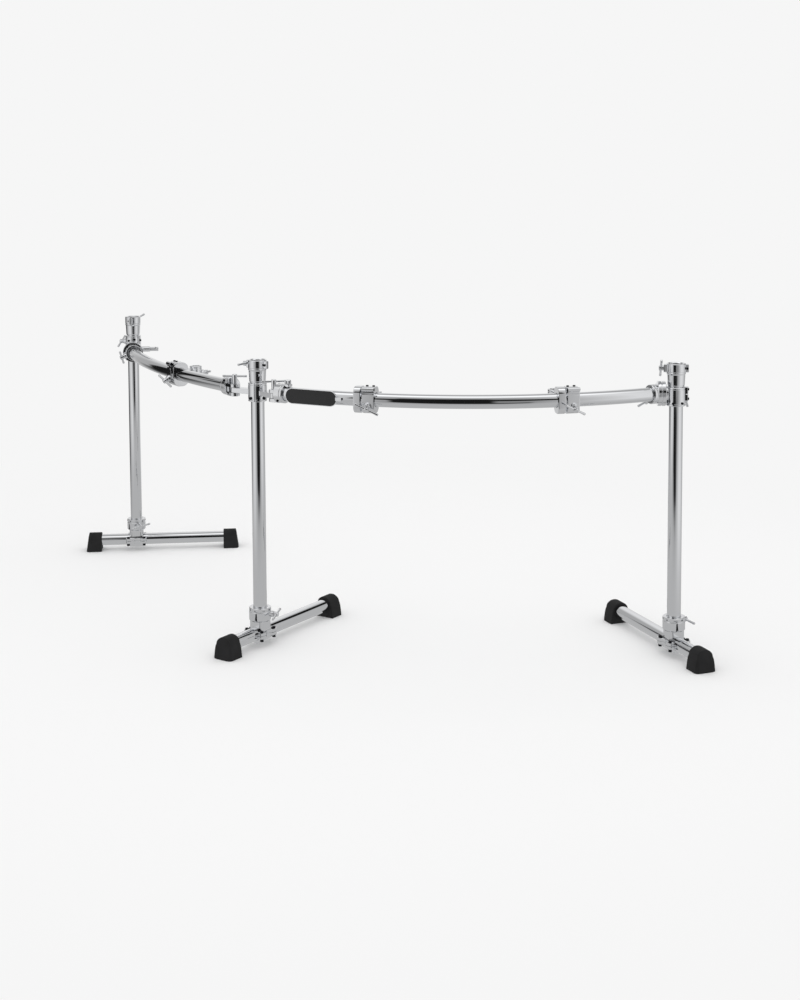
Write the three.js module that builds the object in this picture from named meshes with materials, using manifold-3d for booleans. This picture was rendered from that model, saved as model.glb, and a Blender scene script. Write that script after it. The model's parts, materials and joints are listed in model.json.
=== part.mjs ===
// Curved drum rack frame: three posts on T-shaped feet, two curved rack bars and their clamps.
// Units are millimetres, +Z is up, the floor is z = 0. +X runs along the front of the rack and
// +Y points to the player, so a listener looks at the rack along +Y.
import * as THREE from 'three';
import { mergeVertices } from 'three/addons/utils/BufferGeometryUtils.js';
import Module from 'manifold-3d';

const wasm = await Module();
wasm.setup();

// Every post, foot and rack bar is cut from the same round tube.
const tubeDiameter = 38.1;
const tubeWall = 2;
const tubeRadius = tubeDiameter / 2;

// Clearances between neighbouring pieces.
const seatGap = 0.3;
const socketGap = 0.6;
const slideGap = 0.8;
const pinGap = 0.5;
const overrun = 3;

// Facet counts of the round shapes.
const tubeSides = 16;
const bossSides = 12;
const rodSides = 8;
const frontBarSteps = 20;
const sideBarSteps = 12;
const tongueArcSteps = 4;
const plateArcSteps = 2;
const badgeArcSteps = 4;
const shoeDomeSteps = 5;
const shoeCornerSteps = 2;

// Plan of the rack. Each bar is an arc whose chord joins the swivel pins at its two ends.
const barHeight = 727;
const wingDrop = 34;
const barChord = 1056;
const frontBarRadius = 1050;
const sideBarRadius = 2800;
const frontChordTurn = 2.8;
const sideChordTurn = 120.1;
const cornerReach = 78;
const cornerFrontTurn = -44.8;
const cornerSideTurn = 155;
const legReach = 44;
const rightPadTurn = 184.4;
const leftPadTurn = -77.4;

// Posts and T-shaped feet.
const cupRise = 83;
const footAxisHeight = 35;
const footOuterReach = 170;
const footInnerReach = 351;
const centreFootTurn = -118.9;
const rightFootTurn = -63.7;
const leftFootTurn = 190.8;

// Rubber shoe on each end of a foot tube.
const shoeLength = 52;
const shoeTopLength = 43;
const shoeWidth = 65;
const shoeShoulderWidth = 56;
const shoeShoulderHeight = 32;
const shoeHeight = 61;
const shoeEndWall = 12;
const shoeCornerRadius = 12;
const shoeDomeWidthShare = 0.86;
const shoeDomeFootShare = 0.3;

// Base clamp: a saddle over the foot tube that carries a collar for the post.
const saddleLength = 70;
const saddleWall = 8;
const saddleRoof = 7;
const flangeReach = 35;
const flangeThickness = 9;
const saddleBoltRadius = 5;
const saddleBoltHead = 8;
const saddleBoltInset = 8;
const neckLength = 46;
const baseCollarTop = 108;
const baseCollarWall = 12;
const baseCollarBand = 38;
const baseScrewDrop = 19;
const baseBossReach = 41;
const baseScrewTurn = 110;
const baseScrewRoll = -80;

// Wing screws with a cross rod for a handle.
const handleLength = 70;
const handleRadius = 3.5;
const handleInset = 6;
const hubRadius = 7;
const tallHub = 27;
const shortHub = 13;
const shankRadius = 4;
const bossRadius = 9;
const bossReach = 35;

// Cup clamp on each post top. The post fills its lower half and the upper half is open.
const cupHeight = 63;
const cupBandHeight = 27;
const cupWall = 7.4;
const cupFootWall = 3.6;
const cupSocketDepth = 38;
const cupEarReach = 34;
const cupEarWidth = 13;
const cupEarInset = 2.5;
const centreCupTurn = 155;
const centreCupRoll = 90;
const rightCupTurn = 180;
const rightCupRoll = -45;
const leftCupTurn = 89;
const leftCupRoll = 60;

// Collars that join the posts to the bar ends. The corner collar has two swivel tongues, and the
// collars of the outer posts have a round pad for the flange of their socket.
const collarWall = 7.5;
const collarAbove = 19;
const leftCollarAbove = 52;
const collarBelow = 33;
const tongueThickness = 14;
const tongueWidth = 24;
const tongueDrop = 8;
const padRadius = 20;
const padReach = 29;
const lugReach = 33;
const lugWidth = 14;
const lugHeight = 40;
const lugSplit = 3;
const lugTurn = -12;
const chamfer = 2;
const cornerScrewLevel = -23;
const cornerScrewTurn = 55;
const cornerScrewRoll = 77;
const rightScrewLevel = -8;
const rightScrewTurn = 50;
const rightScrewRoll = -15;
const leftScrewLevel = 31;
const leftScrewTurn = 172;
const leftScrewRoll = 65;
const longScrewLevel = 4;
const longScrewTurn = 8;
const longScrewRoll = 75;
const longBossReach = 58;

// Swivel sockets that hold the bar ends.
const forkThickness = 10;
const forkWidth = 28;
const socketStart = 14;
const socketFloor = 6;
const socketEnd = 42;
const socketWall = 7.5;
const legSocketFloor = 7;
const legSocketEnd = 33;
const legFlangeRadius = 34;
const legFlangeLength = 22;
const socketBossReach = 35;
const knobDistance = 47;
const knobLugTop = 27.5;
const knobRadius = 9.5;
const knobHeight = 11;
const knobChamfer = 1.5;
const rightSocketScrewLean = -37;
const rightSocketScrewRoll = 70;
const leftSocketScrewLean = -20;
const leftSocketScrewRoll = -45;
const frontPivotTurn = 15;

// Multi clamps: a block around the bar and, beside it, a receiver for a smaller rod.
const blockLength = 34;
const blockDepth = 48;
const blockHeight = 72;
const blockCornerRadius = 19;
const lipRadius = 6;
const blockBossReach = 35;
const blockScrewLean = -30;
const blockScrewRoll = 60;
const receiverSpacing = 31;
const receiverPlateLength = 20;
const receiverOffset = 51;
const receiverHeight = 44;
const receiverWall = 7;
const receiverBoreRadius = 11.4;
const receiverNeckHeight = 30;
const receiverBossReach = 26;
const receiverScrewRoll = 80;

// Distances along the bars from the pin at the centre post.
const badgeDistance = 132;
const frontLeftClampDistance = 295;
const frontRightClampDistance = 837;
const sideClampDistance = 405;

// Name plate on the front bar.
const badgeLength = 158;
const badgeHeight = 43;
const badgeThickness = 3;
const badgeTabLength = 10;
const badgeTabHeight = 10;
const badgeTabDepth = 5.5;

const postBoreRadius = boreRadius(tubeRadius + seatGap);
const slideBoreRadius = boreRadius(tubeRadius + slideGap);
const postBottom = footAxisHeight + tubeRadius + saddleRoof + 2 * seatGap;
const cupTopHeight = barHeight + cupRise;
const postTop = cupTopHeight - cupSocketDepth;
const collarRadius = tubeRadius + collarWall;

const chrome = new THREE.MeshStandardMaterial({ color: 0xd4d6d8, metalness: 1, roughness: 0.12 });
const rubber = new THREE.MeshStandardMaterial({ color: 0x1d1d1e, metalness: 0, roughness: 0.8 });
const enamel = new THREE.MeshStandardMaterial({ color: 0x161617, metalness: 0, roughness: 0.35 });

// A faceted bore whose flats lie at the wanted radius, so a round tube still passes.
function boreRadius(radius) {
  return radius / Math.cos(Math.PI / tubeSides);
}

function radians(degrees) {
  return degrees * Math.PI / 180;
}

// A level direction, from its turn about Z.
function level(turn) {
  return new THREE.Vector3(Math.cos(radians(turn)), Math.sin(radians(turn)), 0);
}

function polar(radius, turn) {
  return new THREE.Vector2(radius * Math.cos(radians(turn)), radius * Math.sin(radians(turn)));
}

// Turns a closed three.js geometry into a solid that can be joined and cut.
function solid(geometry) {
  geometry.deleteAttribute('normal');
  geometry.deleteAttribute('uv');
  const welded = mergeVertices(geometry);
  const corners = welded.index.array;
  const faces = [];
  for (let i = 0; i < corners.length; i += 3) {
    const [a, b, c] = corners.subarray(i, i + 3);
    if (a !== b && b !== c && c !== a) {
      faces.push(a, b, c);
    }
  }
  return new wasm.Manifold(new wasm.Mesh({
    numProp: 3,
    vertProperties: new Float32Array(welded.attributes.position.array),
    triVerts: new Uint32Array(faces),
  }));
}

function joined(solids) {
  return solids.reduce((whole, next) => whole.add(next));
}

function piece(name, shape, material) {
  const { vertProperties, triVerts } = shape.getMesh();
  const geometry = new THREE.BufferGeometry();
  geometry.setAttribute('position', new THREE.BufferAttribute(new Float32Array(vertProperties), 3));
  geometry.setIndex(new THREE.BufferAttribute(new Uint32Array(triVerts), 1));
  geometry.computeVertexNormals();
  const mesh = new THREE.Mesh(geometry, material);
  mesh.name = name;
  return mesh;
}

// Shapes about the Z axis.
function drumShape(radius, low, high, sides) {
  const geometry = new THREE.CylinderGeometry(radius, radius, high - low, sides);
  geometry.rotateX(Math.PI / 2);
  geometry.translate(0, 0, (low + high) / 2);
  return geometry;
}

function drum(radius, low, high, sides = tubeSides) {
  return solid(drumShape(radius, low, high, sides));
}

// A solid of revolution about Z from [radius, height] corners that start and end on the axis.
function turned(corners, sides = tubeSides) {
  const profile = corners.map(([radius, height]) => new THREE.Vector2(radius, height));
  const geometry = new THREE.LatheGeometry(profile, sides);
  geometry.rotateX(Math.PI / 2);
  return solid(geometry);
}

// A drum about Z with chamfered rims.
function rimmedDrum(radius, low, high, cut = chamfer, sides = tubeSides) {
  return turned([
    [0, low], [radius - cut, low], [radius, low + cut],
    [radius, high - cut], [radius - cut, high], [0, high],
  ], sides);
}

function tubeShape(low, high) {
  const inner = tubeRadius - tubeWall;
  const profile = [[inner, low], [tubeRadius, low], [tubeRadius, high], [inner, high], [inner, low]];
  const geometry = new THREE.LatheGeometry(profile.map(([r, z]) => new THREE.Vector2(r, z)), tubeSides);
  geometry.rotateX(Math.PI / 2);
  return geometry;
}

function boxShape(size, centre) {
  const geometry = new THREE.BoxGeometry(...size);
  geometry.translate(...centre);
  return geometry;
}

function box(size, centre) {
  return solid(boxShape(size, centre));
}

// A flat bar along +X from the Z axis to a rounded end about a pin, between two heights.
function tongue(reach, width, low, high) {
  const outline = new THREE.Shape();
  outline.moveTo(0, -width / 2);
  outline.lineTo(reach, -width / 2);
  outline.absarc(reach, 0, width / 2, -Math.PI / 2, Math.PI / 2, false);
  outline.lineTo(0, width / 2);
  const geometry = new THREE.ExtrudeGeometry(outline, {
    depth: high - low, bevelEnabled: false, curveSegments: tongueArcSteps,
  });
  geometry.translate(0, 0, low);
  return geometry;
}

function roundedRectangle(width, height, radius) {
  const x = width / 2;
  const y = height / 2;
  const outline = new THREE.Shape();
  outline.moveTo(x - radius, -y);
  outline.absarc(x - radius, -y + radius, radius, -Math.PI / 2, 0, false);
  outline.absarc(x - radius, y - radius, radius, 0, Math.PI / 2, false);
  outline.absarc(-x + radius, y - radius, radius, Math.PI / 2, Math.PI, false);
  outline.absarc(-x + radius, -y + radius, radius, Math.PI, 3 * Math.PI / 2, false);
  return outline;
}

// A plate around the bar: a Y-Z outline, extruded along X about the middle.
function barPlate(length) {
  const outline = roundedRectangle(blockDepth, blockHeight, blockCornerRadius);
  const geometry = new THREE.ExtrudeGeometry(outline, {
    depth: length - 2 * chamfer, bevelEnabled: true, bevelSegments: 1,
    bevelThickness: chamfer, bevelSize: chamfer, bevelOffset: -chamfer, curveSegments: plateArcSteps,
  });
  geometry.translate(0, 0, chamfer - length / 2);
  geometry.rotateX(Math.PI / 2);
  geometry.rotateZ(Math.PI / 2);
  return solid(geometry);
}

// The turn that takes +Z to a direction. At no roll, +X then points as nearly up as it can, or
// stays +X where the direction is itself upright.
function aim(direction, roll = 0) {
  const along = direction.clone().normalize();
  const upright = Math.abs(along.z) > Math.SQRT1_2;
  const across = new THREE.Vector3(upright ? 1 : 0, 0, upright ? 0 : 1);
  across.addScaledVector(along, -across.dot(along)).normalize();
  const third = along.clone().cross(across);
  const basis = new THREE.Matrix4().makeBasis(across, third, along);
  const turn = new THREE.Quaternion().setFromRotationMatrix(basis);
  const spin = new THREE.Quaternion().setFromAxisAngle(new THREE.Vector3(0, 0, 1), radians(roll));
  return turn.multiply(spin);
}

function aimed(geometry, direction, origin = new THREE.Vector3()) {
  const matrix = new THREE.Matrix4().makeRotationFromQuaternion(aim(direction));
  geometry.applyMatrix4(matrix.setPosition(origin));
  return solid(geometry);
}

// A boss that stands out along a direction, and the screw hole from the bore's axis through it.
function boss(direction, from, reach, origin) {
  return aimed(drumShape(bossRadius, from, reach, bossSides), direction, origin);
}

function screwHole(direction, reach, origin) {
  return aimed(drumShape(shankRadius + pinGap, 0, reach + overrun, bossSides), direction, origin);
}

// A wing screw along +Z. Its hub sits on z = 0 and its shank reaches down.
function wingScrew(shankLength, hubLength) {
  const half = handleLength / 2;
  const handleAxis = hubLength - handleInset;
  const handle = drumShape(handleRadius, -half, half, rodSides);
  handle.rotateY(Math.PI / 2);
  handle.translate(0, 0, handleAxis);
  return joined([
    drum(hubRadius, 0, hubLength, bossSides),
    drum(shankRadius, -shankLength, handleAxis, rodSides),
    solid(handle),
  ]);
}

// Puts a wing screw on a seat that lies along a direction from a centre.
function seatedScrew(name, centre, direction, seat, shankLength, hubLength, roll) {
  const screw = piece(name, wingScrew(shankLength, hubLength), chrome);
  const along = direction.clone().normalize();
  screw.position.copy(centre).addScaledVector(along, seat + seatGap);
  screw.quaternion.copy(aim(along, roll));
  return screw;
}

// The shank of a screw that bears on a tube stops short of it.
function bearingShank(seat) {
  return seat - tubeRadius - seatGap;
}

// Rubber shoe with its outer end at x = 0 and its socket open towards -X.
function shoe() {
  const half = shoeWidth / 2;
  const shoulder = shoeShoulderWidth / 2;
  const domeHalf = shoulder * shoeDomeWidthShare;
  const domeFoot = shoeShoulderHeight + (shoeHeight - shoeShoulderHeight) * shoeDomeFootShare;
  const end = new THREE.Shape();
  end.moveTo(-half, 0);
  end.lineTo(half, 0);
  end.lineTo(shoulder, shoeShoulderHeight);
  end.lineTo(domeHalf, domeFoot);
  end.absellipse(0, domeFoot, domeHalf, shoeHeight - domeFoot, 0, Math.PI, false);
  end.lineTo(-shoulder, shoeShoulderHeight);
  const across = new THREE.ExtrudeGeometry(end, {
    depth: shoeLength, bevelEnabled: false, curveSegments: shoeDomeSteps,
  });
  across.rotateX(Math.PI / 2);
  across.rotateZ(Math.PI / 2);
  across.translate(-shoeLength, 0, 0);

  const lean = shoeLength - shoeTopLength;
  const plan = new THREE.Shape();
  const corner = half - shoeCornerRadius;
  plan.moveTo(-shoeLength - overrun, -half - overrun);
  plan.lineTo(-shoeLength - overrun, half + overrun);
  plan.lineTo(-shoeCornerRadius, half + overrun);
  plan.lineTo(-shoeCornerRadius, half);
  plan.absarc(-shoeCornerRadius, corner, shoeCornerRadius, Math.PI / 2, 0, true);
  plan.absarc(-shoeCornerRadius, -corner, shoeCornerRadius, 0, -Math.PI / 2, true);
  plan.lineTo(-shoeCornerRadius, -half - overrun);
  const standing = new THREE.ExtrudeGeometry(plan, {
    depth: shoeHeight, bevelEnabled: false, curveSegments: shoeCornerSteps,
  });
  const points = standing.attributes.position;
  for (let i = 0; i < points.count; i += 1) {
    if (points.getX(i) > -shoeLength) {
      points.setX(i, points.getX(i) - lean * points.getZ(i) / shoeHeight);
    }
  }
  const bore = drumShape(postBoreRadius, shoeEndWall, shoeLength + overrun, tubeSides);
  bore.rotateY(-Math.PI / 2);
  bore.translate(0, 0, footAxisHeight);
  return solid(across).intersect(solid(standing)).subtract(solid(bore));
}

function footTube() {
  const geometry = tubeShape(
    shoeEndWall + seatGap - footInnerReach,
    footOuterReach - shoeEndWall - seatGap,
  );
  geometry.rotateY(Math.PI / 2);
  geometry.translate(0, 0, footAxisHeight);
  return solid(geometry);
}

function footTubeBore() {
  const geometry = drumShape(postBoreRadius, -saddleLength, saddleLength, tubeSides);
  geometry.rotateY(Math.PI / 2);
  geometry.translate(0, 0, footAxisHeight);
  return solid(geometry);
}

// The ring about the foot tube, before it is split into clamp and strap.
function saddleRing(length) {
  const geometry = drumShape(tubeRadius + saddleWall, -length / 2, length / 2, tubeSides);
  geometry.rotateY(Math.PI / 2);
  geometry.translate(0, 0, footAxisHeight);
  return solid(geometry);
}

function saddleHalfSpace(side) {
  const size = 2 * flangeReach + 2 * overrun;
  return box([size, size, size], [0, 0, footAxisHeight + side * (size / 2 + seatGap / 2)]);
}

function baseClamp() {
  const split = footAxisHeight;
  const flange = box(
    [saddleLength, 2 * flangeReach, flangeThickness],
    [0, 0, split + flangeThickness / 2],
  );
  const neckTop = baseCollarTop - baseCollarBand;
  const neck = box(
    [neckLength, 2 * tubeRadius + saddleWall, neckTop - split + overrun],
    [0, 0, (split + neckTop + overrun) / 2],
  );
  const collar = rimmedDrum(tubeRadius + baseCollarWall, neckTop, baseCollarTop);
  const centre = new THREE.Vector3(0, 0, baseCollarTop - baseScrewDrop);
  const direction = level(baseScrewTurn);
  const shape = joined([
    saddleRing(neckLength), flange, neck, collar,
    boss(direction, tubeRadius + overrun, baseBossReach, centre),
  ]);
  return shape
    .intersect(saddleHalfSpace(1))
    .subtract(footTubeBore())
    .subtract(drum(postBoreRadius, postBottom - seatGap, baseCollarTop + overrun))
    .subtract(screwHole(direction, baseBossReach, centre));
}

function baseStrap() {
  const split = footAxisHeight;
  const flange = box(
    [saddleLength, 2 * flangeReach, flangeThickness],
    [0, 0, split - flangeThickness / 2],
  );
  const half = joined([saddleRing(neckLength), flange])
    .intersect(saddleHalfSpace(-1))
    .subtract(footTubeBore());
  const heads = [];
  for (const x of [-1, 1]) {
    for (const y of [-1, 1]) {
      const head = drumShape(
        saddleBoltRadius, split - flangeThickness - saddleBoltHead, split - flangeThickness / 2, rodSides,
      );
      head.translate(x * (saddleLength / 2 - saddleBoltInset), y * (flangeReach - saddleBoltInset), 0);
      heads.push(solid(head));
    }
  }
  return joined([half, ...heads]);
}

function cup() {
  const outer = tubeRadius + cupWall;
  const foot = tubeRadius + cupFootWall;
  const low = cupTopHeight - cupHeight;
  const bandLow = cupTopHeight - cupBandHeight;
  const bell = turned([
    [0, low], [foot - chamfer / 2, low], [foot, low + chamfer / 2], [outer - chamfer, bandLow - chamfer],
    [outer, bandLow], [outer, cupTopHeight - chamfer], [outer - chamfer, cupTopHeight], [0, cupTopHeight],
  ]);
  const earHeight = cupBandHeight - 2 * cupEarInset;
  const earLength = cupEarReach - tubeRadius - cupEarInset;
  const earCentre = cupEarReach - earLength / 2;
  const earLevel = cupTopHeight - cupBandHeight / 2;
  const ears = [-1, 1].map((side) => box(
    [earLength, cupEarWidth, earHeight],
    [side * earCentre, 0, earLevel],
  ));
  const centre = new THREE.Vector3(0, 0, earLevel);
  return joined([bell, ...ears])
    .subtract(drum(postBoreRadius, low - overrun, cupTopHeight + overrun))
    .subtract(screwHole(level(0), cupEarReach, centre));
}

// One leg: post, T-shaped foot and cup, about the post's own axis.
function leg(name, place, footTurn, cupTurn, cupRoll) {
  const group = new THREE.Group();
  group.position.set(place.x, place.y, 0);
  group.add(piece(`${name}_post`, solid(tubeShape(postBottom, postTop)), chrome));

  const foot = new THREE.Group();
  foot.rotation.z = radians(footTurn);
  foot.add(piece(`${name}_foot_tube`, footTube(), chrome));
  const outer = piece(`${name}_outer_shoe`, shoe(), rubber);
  outer.position.x = footOuterReach;
  foot.add(outer);
  const inner = piece(`${name}_inner_shoe`, shoe(), rubber);
  inner.position.x = -footInnerReach;
  inner.rotation.z = Math.PI;
  foot.add(inner);
  foot.add(piece(`${name}_base_clamp`, baseClamp(), chrome));
  foot.add(piece(`${name}_base_strap`, baseStrap(), chrome));
  foot.add(seatedScrew(
    `${name}_base_screw`, new THREE.Vector3(0, 0, baseCollarTop - baseScrewDrop), level(baseScrewTurn),
    baseBossReach, bearingShank(baseBossReach), shortHub, baseScrewRoll,
  ));
  group.add(foot);

  const top = new THREE.Group();
  top.rotation.z = radians(cupTurn);
  top.add(piece(`${name}_cup`, cup(), chrome));
  top.add(seatedScrew(
    `${name}_cup_screw`, new THREE.Vector3(0, 0, cupTopHeight - cupBandHeight / 2), level(0),
    cupEarReach, bearingShank(cupEarReach), shortHub, cupRoll,
  ));
  group.add(top);
  return group;
}

// A collar about a post with its bosses and one or two wing screws, at the height of a bar.
// Each screw has a suffix for its name, a level, a turn, a roll, and the reach of its boss.
function collar(name, place, height, above, body, screws) {
  const group = new THREE.Group();
  group.position.set(place.x, place.y, height);
  let shape = rimmedDrum(collarRadius, -collarBelow, above).add(body);
  let holes = drum(postBoreRadius, -collarBelow - overrun, above + overrun);
  for (const { suffix, z, turn, roll, reach, hub } of screws) {
    const centre = new THREE.Vector3(0, 0, z);
    const direction = level(turn);
    shape = shape.add(boss(direction, tubeRadius + overrun, reach, centre));
    holes = holes.add(screwHole(direction, reach, centre));
    group.add(seatedScrew(
      `${name}_${suffix}`, centre, direction, reach, bearingShank(reach), hub, roll,
    ));
  }
  group.add(piece(name, shape.subtract(holes), chrome));
  return group;
}

// The tongues that reach from the corner collar to the two swivel pins.
function cornerTongues() {
  const high = tongueThickness / 2 - tongueDrop;
  const low = -tongueThickness / 2 - tongueDrop;
  return joined([cornerFrontTurn, cornerSideTurn].map((turn) => {
    const arm = tongue(cornerReach, tongueWidth, low, high);
    arm.rotateZ(radians(turn));
    const hole = drumShape(shankRadius + pinGap, low - overrun, high + overrun, bossSides);
    hole.translate(...polar(cornerReach, turn).toArray(), 0);
    return solid(arm).subtract(solid(hole));
  }));
}

// The round pad that faces the flange of a socket.
function collarPad(turn) {
  return aimed(drumShape(padRadius, tubeRadius + overrun, padReach, tubeSides), level(turn));
}

// The split lug that closes a collar.
function collarLug(turn) {
  const start = tubeRadius + overrun;
  const length = lugReach - start;
  const lug = boxShape([length, lugWidth, lugHeight], [start + length / 2, 0, 0]);
  const split = boxShape([length, 2 * lugWidth, lugSplit], [collarRadius + length / 2, 0, 0]);
  for (const shape of [lug, split]) {
    shape.rotateZ(radians(turn));
  }
  return solid(lug).subtract(solid(split));
}

// A wing: one curved bar in the frame of its chord. The chord runs along +X from the pin at the
// centre post, and the bar bows towards bulge * Y.
function makeWing(radius, bulge, drop) {
  const halfAngle = Math.asin(barChord / 2 / radius);
  const rise = Math.sqrt(radius ** 2 - (barChord / 2) ** 2);
  const tilt = Math.asin(drop / barChord);
  return { radius, bulge, halfAngle, rise, tilt, length: 2 * radius * halfAngle };
}

// The place and turn of the bar's axis at a distance along it, with X along the bar.
function barMatrix(wing, distance) {
  const swept = distance / wing.radius - wing.halfAngle;
  const matrix = new THREE.Matrix4().makeRotationY(wing.tilt);
  matrix.multiply(new THREE.Matrix4().makeTranslation(
    barChord / 2 + wing.radius * Math.sin(swept),
    wing.bulge * (wing.radius * Math.cos(swept) - wing.rise),
    0,
  ));
  return matrix.multiply(new THREE.Matrix4().makeRotationZ(-wing.bulge * swept));
}

class BarLine extends THREE.Curve {
  constructor(wing, start, end) {
    super();
    this.wing = wing;
    this.start = start;
    this.end = end;
  }

  getPoint(share, target = new THREE.Vector3()) {
    const distance = this.start + (this.end - this.start) * share;
    return target.setFromMatrixPosition(barMatrix(this.wing, distance));
  }
}

function bar(wing, steps) {
  const nearMargin = socketStart + socketFloor + seatGap;
  const farMargin = legSocketFloor + seatGap;
  const section = new THREE.Shape();
  section.absarc(0, 0, tubeRadius, 0, 2 * Math.PI, false);
  const inside = new THREE.Path();
  inside.absarc(0, 0, tubeRadius - tubeWall, 0, 2 * Math.PI, true);
  section.holes.push(inside);
  return solid(new THREE.ExtrudeGeometry(section, {
    steps, bevelEnabled: false, curveSegments: tubeSides / 2,
    extrudePath: new BarLine(wing, nearMargin, wing.length - farMargin),
  }));
}

// The bar's axis at a distance from one of its chord's ends, in a frame about that end. Side is
// 1 at the centre post and -1 at the outer post.
function endPlace(wing, side, distance) {
  const endDistance = side > 0 ? 0 : wing.length;
  const end = new THREE.Vector3().setFromMatrixPosition(barMatrix(wing, endDistance));
  const place = barMatrix(wing, endDistance + side * distance);
  return place.premultiply(new THREE.Matrix4().makeTranslation(-end.x, -end.y, -end.z));
}

// A drum along the bar about a place on it, from one distance to another.
function alongBar(place, middle, side, from, to, radius) {
  const ends = [side * (from - middle), side * (to - middle)];
  const shape = drumShape(radius, Math.min(...ends), Math.max(...ends), tubeSides);
  shape.rotateY(Math.PI / 2);
  shape.applyMatrix4(place);
  return solid(shape);
}

// The socket at the centre post. It swivels on a pin at its own origin, between two fork plates.
function swivelSocket(wing, knobbed) {
  const middle = (socketStart + socketEnd) / 2;
  const place = endPlace(wing, 1, middle);
  const ring = alongBar(place, middle, 1, socketStart, socketEnd, tubeRadius + socketWall);
  const high = tongueThickness / 2 - tongueDrop + seatGap;
  const low = -tongueThickness / 2 - tongueDrop - seatGap;
  const heading = Math.atan2(place.elements[13], place.elements[12]);
  const reach = socketStart + socketFloor / 2;
  const forks = [[high, high + forkThickness], [low - forkThickness, low]].map(([from, to]) => {
    const plate = tongue(reach, forkWidth, from, to);
    plate.translate(-reach, 0, 0);
    plate.rotateZ(heading + Math.PI);
    return solid(plate);
  });
  const hole = drumShape(
    shankRadius + pinGap, low - forkThickness - overrun, high + forkThickness + overrun, bossSides,
  );
  const boreSize = boreRadius(tubeRadius + socketGap);
  let shape = joined([ring, ...forks]);
  let holes = solid(hole)
    .add(alongBar(place, middle, 1, socketStart + socketFloor, socketEnd + overrun, boreSize));
  if (knobbed) {
    const lugLength = knobDistance + knobRadius - socketEnd + overrun;
    const lugBottom = tubeRadius + socketGap;
    const lug = boxShape(
      [lugLength, 2 * knobRadius, knobLugTop - lugBottom],
      [knobRadius - lugLength / 2, 0, (knobLugTop + lugBottom) / 2],
    );
    lug.applyMatrix4(endPlace(wing, 1, knobDistance));
    shape = shape.add(solid(lug));
    holes = holes.add(screwHole(new THREE.Vector3(0, 0, 1), knobLugTop, knobSeat(wing)));
  }
  return shape.subtract(holes);
}

// Where the axis of the bar lies under the knob on the front socket.
function knobSeat(wing) {
  return new THREE.Vector3().setFromMatrixPosition(endPlace(wing, 1, knobDistance));
}

// A round knob on a short screw.
function knob(shankLength) {
  return turned([
    [0, -shankLength], [shankRadius, -shankLength], [shankRadius, 0], [knobRadius - knobChamfer, 0],
    [knobRadius, knobChamfer], [knobRadius, knobHeight - knobChamfer],
    [knobRadius - knobChamfer, knobHeight], [0, knobHeight],
  ], bossSides);
}

// The socket at an outer post, about the outer end of the chord. Its flange lies on the pad of
// the collar, in the direction of the post, and the screw leans from the bar's level.
function legSocket(wing, towardsPost, lean) {
  const middle = (legSocketFloor + legSocketEnd) / 2;
  const place = endPlace(wing, -1, middle);
  const ring = alongBar(place, middle, -1, 0, legSocketEnd, tubeRadius + socketWall);
  const face = legReach - padReach - seatGap;
  const flange = aimed(drumShape(legFlangeRadius, face - legFlangeLength, face, tubeSides), towardsPost);
  const wall = aimed(drumShape(legReach, face, legReach, tubeSides), towardsPost);
  const centre = new THREE.Vector3().setFromMatrixPosition(place);
  const direction = leanedDirection(lean).transformDirection(place);
  const screw = boss(direction, tubeRadius + overrun, socketBossReach, centre);
  return joined([ring, flange, screw])
    .subtract(wall)
    .subtract(alongBar(
      place, middle, -1, legSocketFloor, legSocketEnd + overrun, boreRadius(tubeRadius + socketGap),
    ))
    .subtract(screwHole(direction, socketBossReach, centre));
}

// A direction square to the bar: level to its left, then leaned up by an angle.
function leanedDirection(lean) {
  return new THREE.Vector3(0, Math.cos(radians(lean)), Math.sin(radians(lean)));
}

function pinShank() {
  return tongueThickness + 2 * forkThickness + 3 * seatGap;
}

function pinSeat() {
  return tongueThickness / 2 - tongueDrop + forkThickness + seatGap;
}

function multiClampBlock(bulge, screwDirection) {
  const lip = drumShape(lipRadius, -blockLength / 2, blockLength / 2, bossSides);
  lip.rotateY(Math.PI / 2);
  lip.translate(0, bulge * (blockDepth / 2 - lipRadius / 2), blockHeight / 2 - lipRadius);
  const bore = drumShape(slideBoreRadius, -blockLength, blockLength, tubeSides);
  bore.rotateY(Math.PI / 2);
  return joined([
    barPlate(blockLength), solid(lip),
    boss(screwDirection, tubeRadius + overrun, blockBossReach, new THREE.Vector3()),
  ])
    .subtract(solid(bore))
    .subtract(screwHole(screwDirection, blockBossReach, new THREE.Vector3()));
}

// The receiver: a plate around the bar, a neck and a sleeve with an upright bore.
function receiver(away) {
  const bore = drumShape(slideBoreRadius, -blockLength, blockLength, tubeSides);
  bore.rotateY(Math.PI / 2);
  const sleeveRadius = receiverBoreRadius + receiverWall;
  const armLength = receiverOffset - tubeRadius - overrun;
  const arm = box(
    [receiverPlateLength - 2 * chamfer, armLength, receiverNeckHeight],
    [0, away * (receiverOffset - armLength / 2), 0],
  );
  const sleeve = rimmedDrum(sleeveRadius, -receiverHeight / 2, receiverHeight / 2);
  const hollow = drum(receiverBoreRadius, -receiverHeight, receiverHeight);
  const centre = new THREE.Vector3(0, away * receiverOffset, 0);
  const direction = new THREE.Vector3(0, away, 0);
  return joined([
    barPlate(receiverPlateLength), arm, sleeve.translate(centre.toArray()),
    boss(direction, receiverBoreRadius + overrun, receiverBossReach, centre),
  ])
    .subtract(solid(bore))
    .subtract(hollow.translate(centre.toArray()))
    .subtract(screwHole(direction, receiverBossReach, centre));
}

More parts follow.
